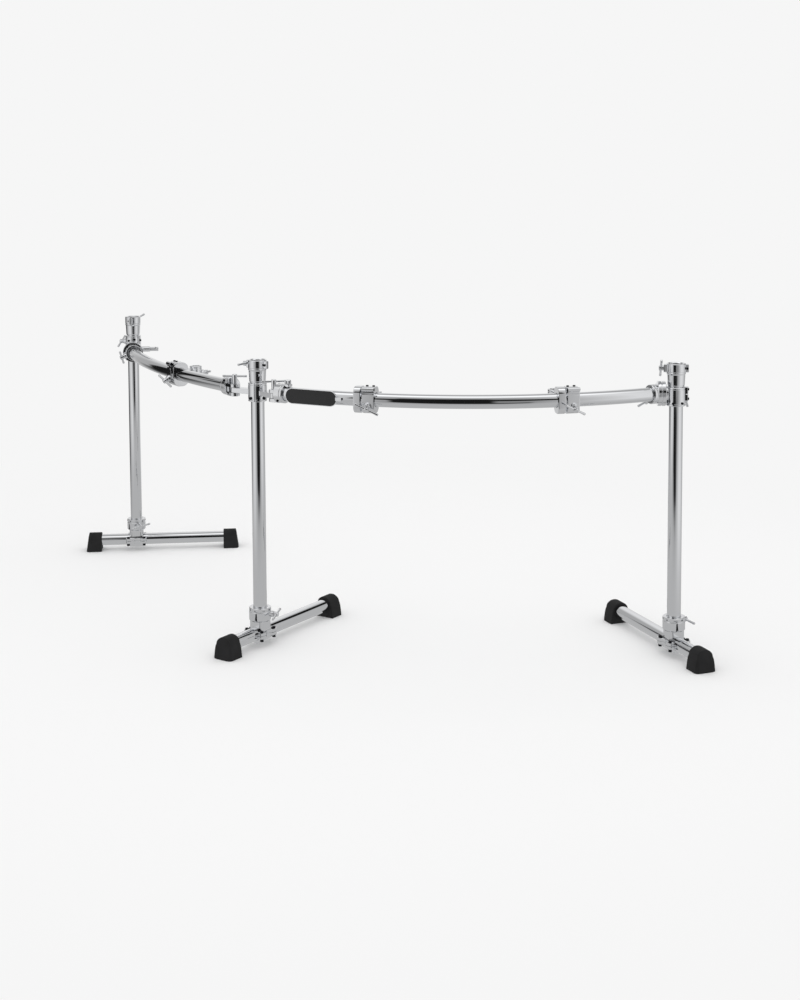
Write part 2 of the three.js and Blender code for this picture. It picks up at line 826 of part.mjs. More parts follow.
function multiClamp(name, wing, distance) {
  const group = new THREE.Group();
  const block = new THREE.Group();
  block.applyMatrix4(barMatrix(wing, distance));
  const direction = leanedDirection(blockScrewLean);
  direction.y *= wing.bulge;
  block.add(piece(`${name}_block`, multiClampBlock(wing.bulge, direction), chrome));
  block.add(seatedScrew(
    `${name}_block_screw`, new THREE.Vector3(), direction, blockBossReach,
    bearingShank(blockBossReach) - slideGap, shortHub, blockScrewRoll,
  ));
  group.add(block);

  const side = new THREE.Group();
  side.applyMatrix4(barMatrix(wing, distance - receiverSpacing));
  const away = -wing.bulge;
  side.add(piece(`${name}_receiver`, receiver(away), chrome));
  side.add(seatedScrew(
    `${name}_receiver_screw`, new THREE.Vector3(0, away * receiverOffset, 0), new THREE.Vector3(0, away, 0),
    receiverBossReach, receiverBossReach - receiverBoreRadius, shortHub, receiverScrewRoll,
  ));
  group.add(side);
  return group;
}

function badge(wing) {
  const plate = new THREE.ExtrudeGeometry(roundedRectangle(badgeLength, badgeHeight, badgeHeight / 2), {
    depth: badgeThickness, bevelEnabled: false, curveSegments: badgeArcSteps,
  });
  plate.rotateX(Math.PI / 2);
  const back = wing.bulge * (tubeRadius + seatGap);
  const front = back + wing.bulge * badgeThickness;
  plate.translate(0, Math.max(back, front), 0);
  const tab = box(
    [badgeTabLength + badgeHeight / 2, badgeTabDepth, badgeTabHeight],
    [badgeLength / 2 + (badgeTabLength - badgeHeight / 2) / 2, front - wing.bulge * badgeTabDepth / 2, 0],
  );
  const slot = drumShape(boreRadius(tubeRadius + seatGap), -badgeLength, badgeLength, tubeSides);
  slot.rotateY(Math.PI / 2);
  const mesh = piece('badge', solid(plate).add(tab).subtract(solid(slot)), enamel);
  mesh.applyMatrix4(barMatrix(wing, badgeDistance));
  return mesh;
}

const frontWing = makeWing(frontBarRadius, -1, 0);
const sideWing = makeWing(sideBarRadius, 1, wingDrop);

const centrePost = new THREE.Vector2();
const frontPin = polar(cornerReach, cornerFrontTurn);
const sidePin = polar(cornerReach, cornerSideTurn);
const rightEnd = frontPin.clone().add(polar(barChord, frontChordTurn));
const leftEnd = sidePin.clone().add(polar(barChord * Math.cos(sideWing.tilt), sideChordTurn));
const rightPost = rightEnd.clone().sub(polar(legReach, rightPadTurn));
const leftPost = leftEnd.clone().sub(polar(legReach, leftPadTurn));

const rack = new THREE.Group();
rack.add(leg('centre', centrePost, centreFootTurn, centreCupTurn, centreCupRoll));
rack.add(leg('right', rightPost, rightFootTurn, rightCupTurn, rightCupRoll));
rack.add(leg('left', leftPost, leftFootTurn, leftCupTurn, leftCupRoll));

rack.add(collar('corner_collar', centrePost, barHeight, collarAbove, cornerTongues(), [{
  suffix: 'screw', z: cornerScrewLevel, turn: cornerScrewTurn, roll: cornerScrewRoll,
  reach: bossReach, hub: shortHub,
}]));
rack.add(collar(
  'right_collar', rightPost, barHeight, collarAbove, collarPad(rightPadTurn).add(collarLug(lugTurn)), [{
    suffix: 'screw', z: rightScrewLevel, turn: rightScrewTurn, roll: rightScrewRoll,
    reach: bossReach, hub: shortHub,
  }],
));
rack.add(collar(
  'left_collar', leftPost, barHeight - wingDrop, leftCollarAbove, collarPad(leftPadTurn), [{
    suffix: 'screw', z: leftScrewLevel, turn: leftScrewTurn, roll: leftScrewRoll,
    reach: bossReach, hub: shortHub,
  }, {
    suffix: 'long_screw', z: longScrewLevel, turn: longScrewTurn, roll: longScrewRoll,
    reach: longBossReach, hub: tallHub,
  }],
));

// The near half of a wing: the swivel socket at the centre post, its pivot screw and the bar.
function addWing(name, wing, pin, chordTurn, pivotTurn, steps, knobbed) {
  const group = new THREE.Group();
  group.position.set(pin.x, pin.y, barHeight);
  group.rotation.z = radians(chordTurn);
  group.add(piece(`${name}_socket`, swivelSocket(wing, knobbed), chrome));
  group.add(seatedScrew(
    `${name}_socket_screw`, new THREE.Vector3(), new THREE.Vector3(0, 0, 1),
    pinSeat(), pinShank(), tallHub, pivotTurn - chordTurn,
  ));
  group.add(piece(`${name}_bar`, bar(wing, steps), chrome));
  return group;
}

// The socket at the outer end of a wing and its screw.
function addLegSocket(group, name, wing, padTurn, chordTurn, lean, roll) {
  const far = new THREE.Group();
  far.position.setFromMatrixPosition(barMatrix(wing, wing.length));
  const towardsPost = level(padTurn - chordTurn).negate();
  far.add(piece(`${name}_socket`, legSocket(wing, towardsPost, lean), chrome));
  const place = endPlace(wing, -1, (legSocketFloor + legSocketEnd) / 2);
  far.add(seatedScrew(
    `${name}_socket_screw`, new THREE.Vector3().setFromMatrixPosition(place),
    leanedDirection(lean).transformDirection(place), socketBossReach,
    bearingShank(socketBossReach), shortHub, roll,
  ));
  group.add(far);
}

const front = addWing('front', frontWing, frontPin, frontChordTurn, frontPivotTurn, frontBarSteps, true);
addLegSocket(
  front, 'right', frontWing, rightPadTurn, frontChordTurn, rightSocketScrewLean, rightSocketScrewRoll,
);
const socketKnob = piece('front_socket_knob', knob(bearingShank(knobLugTop)), chrome);
socketKnob.position.copy(knobSeat(frontWing));
socketKnob.position.z += knobLugTop + seatGap;
front.add(socketKnob);
front.add(badge(frontWing));
front.add(multiClamp('front_left_clamp', frontWing, frontLeftClampDistance));
front.add(multiClamp('front_right_clamp', frontWing, frontRightClampDistance));
rack.add(front);

const side = addWing('side', sideWing, sidePin, sideChordTurn, 0, sideBarSteps, false);
addLegSocket(side, 'left', sideWing, leftPadTurn, sideChordTurn, leftSocketScrewLean, leftSocketScrewRoll);
side.add(multiClamp('side_clamp', sideWing, sideClampDistance));
rack.add(side);

// The origin is on the floor under the middle of the whole rack.
const extent = new THREE.Box3().setFromObject(rack, true);
const middle = extent.getCenter(new THREE.Vector3());
rack.position.set(-middle.x, -middle.y, 0);

const drumRack = new THREE.Group();
drumRack.add(rack);

export default drumRack;
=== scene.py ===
"""A curved drum rack: three T-footed posts, two curved bars and their clamps, in a pale studio.

Pieces are modelled in millimetres, each about its own seat, and brought to metres at the end.
"""
import json
import math

import bpy
from mathutils import Matrix, Vector


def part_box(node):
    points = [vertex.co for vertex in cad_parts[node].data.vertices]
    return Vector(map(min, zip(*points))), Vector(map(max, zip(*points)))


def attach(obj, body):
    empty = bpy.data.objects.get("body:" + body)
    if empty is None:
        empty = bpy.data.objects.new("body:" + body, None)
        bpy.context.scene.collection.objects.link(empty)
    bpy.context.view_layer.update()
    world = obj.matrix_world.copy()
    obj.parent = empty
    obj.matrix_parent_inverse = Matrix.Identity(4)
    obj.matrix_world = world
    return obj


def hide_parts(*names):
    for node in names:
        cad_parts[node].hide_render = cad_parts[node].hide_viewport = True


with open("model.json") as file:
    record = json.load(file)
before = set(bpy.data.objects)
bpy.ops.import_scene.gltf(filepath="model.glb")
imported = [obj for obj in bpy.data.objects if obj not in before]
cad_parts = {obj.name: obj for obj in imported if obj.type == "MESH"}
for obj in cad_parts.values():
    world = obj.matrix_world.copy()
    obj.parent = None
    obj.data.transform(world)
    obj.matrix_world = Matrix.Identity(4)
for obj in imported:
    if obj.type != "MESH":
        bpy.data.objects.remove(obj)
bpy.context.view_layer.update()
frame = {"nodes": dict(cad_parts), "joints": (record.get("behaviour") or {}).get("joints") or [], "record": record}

bl_info = {
    "name": "Curved drum rack",
    "version": (1, 0, 0),
    "blender": (4, 5, 0),
    "location": "3D View > Sidebar > Drum rack",
    "description": "Models the chromed rack, its clamps, wing screws and rubber feet",
    "category": "Object",
}

MM = 0.001
BODY_OF = {
    node: body for body, nodes in frame["record"]["behaviour"]["bodies"].items() for node in nodes
}
JOINT_OF = {joint["child"]: joint for joint in frame["joints"]}

# How edges are cut, the sides of round pieces, and the rim and groove slope of turned castings.
SHARP_ANGLE = math.radians(38)
FILLET_STEPS = 3
CORNER_STEPS = 8
BEVEL_STEPS = 2
TUBE_SIDES = 72
BADGE_SIDES = 96
ROD_SIDES = 24
RIM = 1.4
GROOVE_WALL = 0.6

# The play round a tube in a leg's castings, in a bar's socket and in a clamp that slides, and the
# gap between two faces that meet.
POST_FIT = 0.35
SOCKET_FIT = 0.6
CLAMP_FIT = 0.8
SEAT_GAP = 0.3

# Turns in degrees of each leg's foot and cup about its post.
LEGS = {"centre": (-118.9, 155.0), "right": (-63.7, 180.0), "left": (190.8, 89.0)}

# The rubber shoes and the foot that they end.
FOOT_AXIS = 35.0
FOOT_OUTER = 170.0
FOOT_INNER = 351.0
SHOE_LENGTH = 52.0
SHOE_TOP_LENGTH = 43.0
SHOE_WIDTH = 65.0
SHOE_SHOULDER = 32.0
SHOE_SHOULDER_WIDTH = 56.0
SHOE_DOME_FOOT = 40.7
SHOE_DOME_HALF = 24.1
SHOE_HEIGHT = 61.0
SHOE_CORNER = 12.0
SHOE_END_WALL = 12.0
SHOE_OVERLAP = 0.4
SHOE_VOXEL = 1.1

# The saddle, collar and cup of a leg.
SADDLE_LENGTH = 46.0
SADDLE_RADIUS = 27.0
SADDLE_BOLT_SPREAD = 27.0
SADDLE_BOLT_RADIUS = 5.0
FLANGE = 70.0
FLANGE_THICKNESS = 9.0
NECK_TOP = 70.0
POST_SEAT = 61.4
BASE_COLLAR_TOP = 108.0
BASE_COLLAR_RADIUS = 31.0
BASE_SCREW_HEIGHT = 89.0
BASE_SCREW_TURN = 110.0
BASE_BOSS_REACH = 41.0
CUP_TOP = 810.0
CUP_HEIGHT = 63.0
CUP_BAND = 27.0
CUP_RADIUS = 26.4
CUP_FOOT_RADIUS = 22.6
CUP_EAR = 29.0

# The bosses for screws, and the small socket bolt as its radius and height.
BOSS_RADIUS = 9.0
BOSS_START = 22.0
BOSS_REACH = 35.0
HOLE_RADIUS = 4.5
SMALL_BOLT = (3.4, 2.6)

# The collars, sockets and clamps of the bars.
COLLAR_RADIUS = 26.5
COLLAR_BELOW = 33.0
COLLAR_ABOVE = 19.0
LEFT_COLLAR_ABOVE = 52.0
LONG_BOSS_REACH = 58.0
LUG_TURN = -12.0
LUG_REACH = 33.0
BAR_CHORD = 1056.0
BAR_HEIGHT = 727.0
BAR_NEAR_MARGIN = 20.3
BAR_FAR_MARGIN = 7.3
WING_DROP = 34.0
PIN_REACH = 78.0
LEG_REACH = 44.0
PAD_REACH = 29.0
FRONT_PIN_TURN = -44.8
SIDE_PIN_TURN = 155.0
RIGHT_PAD_TURN = 184.4
LEFT_PAD_TURN = -77.4
SOCKET_WALL = 7.5
SWIVEL_MIDDLE = 28.0
LEG_SOCKET_HALF = 16.5
LEG_FLANGE_RADIUS = 34.0
LEG_FLANGE_LENGTH = 22.0
KNOB_DISTANCE = 47.0
KNURLS = 24
BADGE_DISTANCE = 132.0
BADGE_HALF = 57.5
BADGE_HEIGHT = 43.0
RECEIVER_SPACING = 31.0
RECEIVER_OFFSET = 51.0
RECEIVER_HALF = 22.0
RECEIVER_RADIUS = 18.4
RECEIVER_BORE = 11.4
RECEIVER_BOSS_REACH = 26.0
CLAMP_HALF = 17.0

# Each bar's turns of pin and chord, the side that it bows to and the drop of its far end.
WINGS = {"front": (FRONT_PIN_TURN, 2.8, -1, 0.0), "side": (SIDE_PIN_TURN, 120.1, 1, WING_DROP)}
MULTI_CLAMPS = {
    "front_left_clamp": ("front", 295.0),
    "front_right_clamp": ("front", 837.0),
    "side_clamp": ("side", 405.0),
}

# The hub of each wing screw. Its shank fills the rest of the screw's length.
TALL_HUB = 27.0
SHORT_HUB = 13.0
HUB_RADIUS = 7.0
THREAD_PITCH = 1.2
THREAD_LEAD = 0.9
TALL_SCREWS = ("front_socket_screw", "side_socket_screw", "left_collar_long_screw")


# Properties

def linear(code):
    """An sRGB hex colour as linear red, green, blue and alpha."""
    values = [int(code[i:i + 2], 16) / 255 for i in (0, 2, 4)]
    return (*(v / 12.92 if v <= 0.04045 else ((v + 0.055) / 1.055) ** 2.4 for v in values), 1.0)


def length(name, description, millimetres):
    return bpy.props.FloatProperty(
        name=name, description=description, default=millimetres * MM, min=0.0, unit="LENGTH",
        precision=4,
    )


def colour(name, description, code):
    return bpy.props.FloatVectorProperty(
        name=name, description=description, default=linear(code), size=4, min=0.0, max=1.0,
        subtype="COLOR",
    )


class RackSizes(bpy.types.PropertyGroup):
    """The sizes that a user would change."""
    tube_diameter: length("Tube diameter", "Outside diameter of every post, foot and bar", 38.1)
    tube_wall: length("Tube wall", "Thickness of the tube's wall", 2.0)
    casting_edge: length("Casting edge", "Radius of the rounded edges of the castings", 1.1)
    groove_depth: length("Groove depth", "Depth of the turned grooves in the castings", 0.8)
    split_width: length("Split width", "Width of the saw cut in a split clamp", 2.2)
    rubber_grain: length("Rubber grain", "Size of the grain on the rubber shoes", 1.6)
    badge_rim: length("Badge rim", "Width of the bright rim of the name plate", 1.5)
    front_radius: length("Front bar radius", "Radius of the front bar's curve", 1050.0)
    side_radius: length("Side bar radius", "Radius of the side bar's curve", 2800.0)
    round_sides: bpy.props.IntProperty(
        name="Round sides", description="Sides of the turned castings", default=56, min=24, max=128,
    )
    bar_steps: bpy.props.IntProperty(
        name="Bar steps", description="Steps along a curved bar", default=96, min=24, max=240,
    )


class RackFinishes(bpy.types.PropertyGroup):
    """The colours that a user would change."""
    chrome: colour("Chrome", "Colour of the chrome plate", "E6E7E9")
    bolt: colour("Bolt", "Colour of the blackened socket bolts", "2B2C2F")
    rubber: colour("Rubber", "Colour of the moulded shoes", "131314")
    enamel: colour("Enamel", "Colour of the name plate's enamel", "101012")
    background: colour("Background", "Colour of the studio's paper", "F6F6F6")


def mm(name):
    """One of the rack's sizes, in millimetres."""
    return getattr(bpy.context.scene.rack_sizes, name) / MM


def colour_of(name):
    return tuple(getattr(bpy.context.scene.rack_finishes, name))


def tube_radius():
    return mm("tube_diameter") / 2


def bore_radius(fit=POST_FIT):
    """The bore of a casting that holds a tube."""
    return tube_radius() + fit


# Places

shift = Matrix.Translation


def rotated(degrees, axis="Z"):
    return Matrix.Rotation(math.radians(degrees), 4, axis)


LAID = rotated(90, "Y")
FOOT_LAY = shift((0, 0, FOOT_AXIS)) @ LAID


def level(degrees):
    """A level direction from its turn about Z."""
    return Vector((math.cos(math.radians(degrees)), math.sin(math.radians(degrees)), 0))


def leaning(degrees, side=1):
    """A direction square to X, from a side and its lean upwards."""
    return Vector((0, side * math.cos(math.radians(degrees)), math.sin(math.radians(degrees))))


def aim(direction, origin=(0, 0, 0)):
    """The place that looks along a direction with its +Z."""
    return shift(origin) @ Vector(direction).to_track_quat("Z", "Y").to_matrix().to_4x4()


def middle_of(node):
    """The middle of a node's box, in millimetres."""
    low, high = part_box(node)
    return (low + high) / 2 / MM


def post_place(leg, turn=0.0, height=0.0):
    middle = middle_of(f"{leg}_post")
    return shift((middle.x, middle.y, height)) @ rotated(turn)


class Wing:
    """A curved bar in the frame of its chord, whose X runs outwards from the pin at the centre."""

    def __init__(self, name):
        pin_turn, chord_turn, self.bulge, drop = WINGS[name]
        self.radius = mm(f"{name}_radius")
        self.half = math.asin(BAR_CHORD / 2 / self.radius)
        self.rise = math.sqrt(self.radius ** 2 - (BAR_CHORD / 2) ** 2)
        self.length = 2 * self.radius * self.half
        self.tilt = Matrix.Rotation(math.asin(drop / BAR_CHORD), 4, "Y")
        self.pin = post_place("centre", 0, BAR_HEIGHT).translation + level(pin_turn) * PIN_REACH
        self.place = shift(self.pin) @ rotated(chord_turn)

    def flat(self, distance):
        """The bar's place at a distance along it, before the chord is tilted."""
        swept = distance / self.radius - self.half
        spot = (
            BAR_CHORD / 2 + self.radius * math.sin(swept),
            self.bulge * (self.radius * math.cos(swept) - self.rise), 0,
        )
        return shift(spot) @ Matrix.Rotation(-self.bulge * swept, 4, "Z")

    def at(self, distance):
        """The bar's place at a distance along it, with X along the bar."""
        return self.place @ self.tilt @ self.flat(distance)

    def along(self, distance):
        """The same place with Z along the bar, for turned parts."""
        return self.at(distance) @ LAID


# Modelling

def mode(name):
    bpy.ops.object.mode_set(mode=name)


def only(piece):
    """Leaves one piece selected and active."""
    bpy.ops.object.select_all(action="DESELECT")
    piece.select_set(True)
    bpy.context.view_layer.objects.active = piece


def added(operator, **settings):
    """Adds a primitive, alone in the selection and with its place in its mesh."""
    bpy.ops.object.select_all(action="DESELECT")
    operator(**settings)
    bpy.ops.object.transform_apply(location=True, rotation=True, scale=True)
    return bpy.context.object


def moved(piece, matrix):
    piece.data.transform(matrix)
    piece.data.update()
    return piece


def another(piece):
    """A copy of a piece with its own mesh."""
    copy = piece.copy()
    copy.data = piece.data.copy()
    bpy.context.collection.objects.link(copy)
    return copy


def discard(piece):
    mesh = piece.data
    bpy.data.objects.remove(piece)
    bpy.data.meshes.remove(mesh)


def modify(piece, kind, **settings):
    """Adds a modifier and applies it."""
    modifier = piece.modifiers.new(kind.title(), kind)
    for key, value in settings.items():
        setattr(modifier, key, value)
    only(piece)
    bpy.ops.object.modifier_apply(modifier=modifier.name)
    return piece


def soften(piece, edge):
    """Rounds every edge that is sharper than a facet of a round part.

    None stands for the edge of the castings, and an edge of 0 leaves the piece as it is."""
    edge = mm("casting_edge") if edge is None else edge
    if not edge:
        return piece
    return modify(
        piece, "BEVEL", width=edge, segments=BEVEL_STEPS, limit_method="ANGLE", angle_limit=SHARP_ANGLE,
    )


def select_in_edit_mode(kind, items, chosen):
    """Goes to edit mode with only those vertices or edges selected that pass a test."""
    mode("EDIT")
    bpy.ops.mesh.select_mode(type=kind)
    bpy.ops.mesh.select_all(action="DESELECT")
    mode("OBJECT")
    for item in items:
        item.select = chosen(item)
    mode("EDIT")


def face_outwards():
    """Turns every face outwards and leaves edit mode."""
    bpy.ops.mesh.select_all(action="SELECT")
    bpy.ops.mesh.normals_make_consistent(inside=False)
    mode("OBJECT")


def combine(operation, piece, others):
    for other in others:
        modify(piece, "BOOLEAN", operation=operation, solver="EXACT", object=other)
        discard(other)
    return piece


def union(piece, *others):
    return combine("UNION", piece, others)


def cut(piece, *others):
    return combine("DIFFERENCE", piece, others)


def together(piece, *others):
    """Puts loose fasteners in the same piece as the casting that they hold."""
    only(piece)
    for other in others:
        other.select_set(True)
    bpy.ops.object.join()
    return bpy.context.object


def filleted(corners, radius, loop):
    """A profile with each of its corners rounded by a short arc."""
    rounded = []
    for i, corner in enumerate(corners):
        here = Vector(corner)
        if not radius or (not loop and i in (0, len(corners) - 1)):
            rounded.append(here)
            continue
        before = Vector(corners[i - 1]) - here
        after = Vector(corners[(i + 1) % len(corners)]) - here
        reach = min(radius, before.length * 0.45, after.length * 0.45)
        start = here + before.normalized() * reach
        end = here + after.normalized() * reach
        for step in range(FILLET_STEPS + 1):
            t = step / FILLET_STEPS
            rounded.append(start * (1 - t) ** 2 + here * 2 * t * (1 - t) + end * t ** 2)
    return rounded


def lathe(corners, fillet=0.0, sides=None, loop=False):
    """Turns (radius, height) corners about Z: a circle that is extruded and scaled in steps.

    A loop closes on itself round a bore. Otherwise both ends are filled."""
    profile = filleted(corners, fillet, loop)
    radius, height = profile[0]
    piece = added(
        bpy.ops.mesh.primitive_circle_add, vertices=sides or bpy.context.scene.rack_sizes.round_sides,
        radius=radius, location=(0, 0, height), fill_type="NOTHING" if loop else "NGON",
    )
    mode("EDIT")
    bpy.ops.mesh.select_all(action="SELECT")
    for wanted, at in profile[1:] + (profile[:1] if loop else []):
        bpy.ops.mesh.extrude_region_move(TRANSFORM_OT_translate={"value": (0, 0, at - height)})
        share = wanted / radius
        bpy.ops.transform.resize(value=(share, share, 1), center_override=(0, 0, at))
        radius, height = wanted, at
    bpy.ops.mesh.select_all(action="SELECT")
    bpy.ops.mesh.remove_doubles(threshold=0.0001)
    face_outwards()
    return piece


def groove(radius, start, end, depth=None):
    """The corners of a groove in a turned face, from one height to another."""
    floor = radius - (mm("groove_depth") if depth is None else depth)
    wall = math.copysign(GROOVE_WALL, end - start)
    return [(radius, start), (floor, start + wall), (floor, end - wall), (radius, end)]


def drum(radius, low, high, fillet=0.0, sides=None):
    """A round bar about Z."""
    inner = radius - max(fillet * 2, 0.5)
    return lathe([(inner, low), (radius, low), (radius, high), (inner, high)], fillet, sides)


def block(size, centre, edge=None, corner=0.0, along=2):
    """A block with soft edges. A corner radius rounds the edges that run along one axis."""
    piece = added(bpy.ops.mesh.primitive_cube_add, size=1, location=centre, scale=size)
    if corner:
        mesh = piece.data

        def runs_along(rim):
            run = mesh.vertices[rim.vertices[1]].co - mesh.vertices[rim.vertices[0]].co
            return abs(run[along]) > 0.9 * run.length

        select_in_edit_mode("EDGE", mesh.edges, runs_along)
        bpy.ops.mesh.bevel(offset=corner, segments=CORNER_STEPS, affect="EDGES")
        bpy.ops.mesh.select_mode(type="VERT")
        mode("OBJECT")
    return soften(piece, edge)


def link(start, end, width, low, high, edge=None, sides=40):
    """A flat bar along X with two round ends, between two heights."""
    piece = added(
        bpy.ops.mesh.primitive_circle_add, vertices=sides, radius=width / 2, location=(start, 0, low),
        rotation=(0, 0, math.pi / sides), fill_type="NGON",
    )
    select_in_edit_mode("VERT", piece.data.vertices, lambda vertex: vertex.co.x > start)
    bpy.ops.transform.translate(value=(end - start, 0, 0))
    bpy.ops.mesh.select_all(action="SELECT")
    bpy.ops.mesh.extrude_region_move(TRANSFORM_OT_translate={"value": (0, 0, high - low)})
    face_outwards()
    return soften(piece, edge)


def boss(direction, origin=(0, 0, 0), reach=BOSS_REACH, start=BOSS_START):
    """A round boss with a raised lip, standing out along a direction."""
    inner, lip = BOSS_RADIUS - 3, BOSS_RADIUS - 1
    piece = lathe([
        (inner, start), (BOSS_RADIUS, start), (BOSS_RADIUS, reach - 3), (lip, reach - 2.4), (lip, reach),
        (inner, reach),
    ], 0.6, 32)
    return moved(piece, aim(direction, origin))


def screw_bore(low, high):
    """What a screw or a pin takes out of a casting, along Z."""
    return drum(HOLE_RADIUS, low, high, sides=ROD_SIDES)


def hole(direction, origin=(0, 0, 0), reach=BOSS_REACH):
    return moved(screw_bore(0, reach + 3), aim(direction, origin))


def socket_bolt(direction, origin, size=SMALL_BOLT):
    """The head of a socket bolt, standing on its seat."""
    radius, height = size
    head = lathe([
        (radius - 0.8, -2), (radius, -2), (radius, height), (radius * 0.55, height),
        (radius * 0.55, height * 0.35), (radius * 0.2, height * 0.35),
    ], 0.35, 20)
    return coated(moved(head, aim(direction, origin)), "bolt")


def finished(piece, node, suffix, place=Matrix.Identity(4)):
    """Brings a piece to metres and to its place, and lets it stand for its node."""
    piece.name = piece.data.name = f"{node}_{suffix}"
    moved(piece, Matrix.Scale(MM, 4) @ place)
    only(piece)
    bpy.ops.object.shade_smooth_by_angle(angle=SHARP_ANGLE)
    modify(piece, "WEIGHTED_NORMAL", keep_sharp=True)
    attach(piece, BODY_OF[node])
    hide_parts(node)


def finish_casting(body, bolts, node, place=Matrix.Identity(4)):
    """Plates a casting and joins its bolts to it."""
    finished(together(coated(body, "casting"), *bolts), node, "casting", place)


# Materials

def add_node(tree, kind, inputs=None, **settings):
    """Adds a node. An input that is a socket is linked, and any other is set."""
    made = tree.nodes.new(kind)
    for key, value in settings.items():
        setattr(made, key, value)
    for key, value in (inputs or {}).items():
        if isinstance(value, bpy.types.NodeSocket):
            tree.links.new(value, made.inputs[key])
        else:
            made.inputs[key].default_value = value
    return made


def show(tree, shader, kind="Material"):
    """Links a shader to the surface of its material or world."""
    add_node(tree, f"ShaderNodeOutput{kind}", {"Surface": shader.outputs[0]})


def new_finish(name):
    """An empty material and its tree of nodes."""
    made = bpy.data.materials.new(name)
    made.use_nodes = True
    made.node_tree.nodes.clear()
    return made, made.node_tree


def object_spot(tree):
    return add_node(tree, "ShaderNodeTexCoord").outputs["Object"]


def noise(tree, scale, detail):
    inputs = {"Vector": object_spot(tree), "Scale": scale, "Detail": detail}
    return add_node(tree, "ShaderNodeTexNoise", inputs).outputs["Fac"]


def drifting(tree, scale, detail, smooth, rough, spread=0.15):
    """A roughness that drifts between two values with the middle of a noise's range."""
    return add_node(tree, "ShaderNodeMapRange", {
        "Value": noise(tree, scale, detail), "From Min": 0.5 - spread, "From Max": 0.5 + spread,
        "To Min": smooth, "To Max": rough,
    }).outputs["Result"]


def bumped(tree, size, detail, strength, height):
    """A normal that follows a noise, whose size and height are in millimetres."""
    return add_node(tree, "ShaderNodeBump", {
        "Height": noise(tree, 1 / (size * MM), detail), "Strength": strength, "Distance": height * MM,
    }).outputs["Normal"]


def plated(tree, smooth, rough, peel_size, peel_height):
    """Chrome plate whose roughness drifts between two values, over a faint peel of a given size."""
    return {
        "Base Color": colour_of("chrome"), "Metallic": 1.0,
        "Roughness": drifting(tree, 18.0, 4.0, smooth, rough),
        "Normal": bumped(tree, peel_size, 1.0, 0.25, peel_height),
    }


def chrome_tube(tree):
    """Bright chrome plate on polished steel tube: long clean reflections, hardly any grain."""
    return plated(tree, 0.02, 0.05, 16.0, 0.004)


def chrome_casting(tree):
    """Chrome plate on die-cast zinc: the same bright metal over a slightly wavy skin."""
    return plated(tree, 0.04, 0.1, 5.0, 0.03)


def chrome_screw(tree):
    """Chrome plate on turned steel rod: bright, with a short fine ripple from the lathe."""
    return plated(tree, 0.05, 0.11, 3.0, 0.012)


def black_bolt(tree):
    """Black oxide on alloy steel: a dull dark metal, a little worn where a key has turned it."""
    return {
        "Base Color": colour_of("bolt"), "Metallic": 1.0,
        "Roughness": drifting(tree, 260.0, 3.0, 0.28, 0.5),
    }


def moulded_rubber(tree):
    """Moulded black rubber: matt, with the fine grain of its mould and a dusty bloom."""
    base = colour_of("rubber")
    ramp = add_node(tree, "ShaderNodeValToRGB", {"Fac": noise(tree, 24.0, 5.0)})
    clean, dusty = ramp.color_ramp.elements
    clean.position, clean.color = 0.35, base
    dusty.position, dusty.color = 0.75, (*(Vector(base[:3]) * 1.8), 1.0)
    return {
        "Base Color": ramp.outputs["Color"], "Roughness": 0.78, "IOR": 1.45,
        "Normal": bumped(tree, mm("rubber_grain"), 2.0, 0.5, 0.12),
    }


def stoved_enamel(tree):
    """Stoved black enamel on the name plate: deep black, smooth, with a soft gloss."""
    return {
        "Base Color": colour_of("enamel"), "IOR": 1.5,
        "Roughness": drifting(tree, 60.0, 3.0, 0.24, 0.36, 0.2),
    }


FINISHES = {
    "tube": ("Chrome_plate_on_drawn_tube", chrome_tube),
    "casting": ("Chrome_plate_on_die_casting", chrome_casting),
    "screw": ("Chrome_plate_on_turned_rod", chrome_screw),
    "bolt": ("Black_oxide_on_steel", black_bolt),
    "rubber": ("Moulded_black_rubber", moulded_rubber),
    "enamel": ("Stoved_black_enamel", stoved_enamel),
}


def coated(piece, finish):
    """Gives a piece one of the finishes, which is made when it is first used."""
    name, shader_inputs = FINISHES[finish]
    made = bpy.data.materials.get(name)
    if not made:
        made, tree = new_finish(name)
        show(tree, add_node(tree, "ShaderNodeBsdfPrincipled", shader_inputs(tree)))
    piece.data.materials.clear()
    piece.data.materials.append(made)
    return piece


# Legs

def tube(low, high):
    radius = tube_radius()
    inner = radius - mm("tube_wall")
    corners = [(inner, low), (radius, low), (radius, high), (inner, high)]
    return coated(lathe(corners, 0.5, TUBE_SIDES, loop=True), "tube")


def make_leg_tubes(leg, foot_turn):
    low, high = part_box(f"{leg}_post")
    finished(tube(low.z / MM, high.z / MM), f"{leg}_post", "tubing", post_place(leg))
    margin = SHOE_END_WALL + SEAT_GAP
    foot = tube(margin - FOOT_INNER, FOOT_OUTER - margin)
    lay = post_place(leg, foot_turn, FOOT_AXIS) @ LAID
    finished(foot, f"{leg}_foot_tube", "tubing", lay)


def narrowed(piece, share, from_height):
    """Scales the vertices above a height along Y, about the origin."""
    only(piece)
    select_in_edit_mode("VERT", piece.data.vertices, lambda vertex: vertex.co.z > from_height)
    bpy.ops.transform.resize(value=(1, share, 1), center_override=(0, 0, 0))
    mode("OBJECT")
    return piece


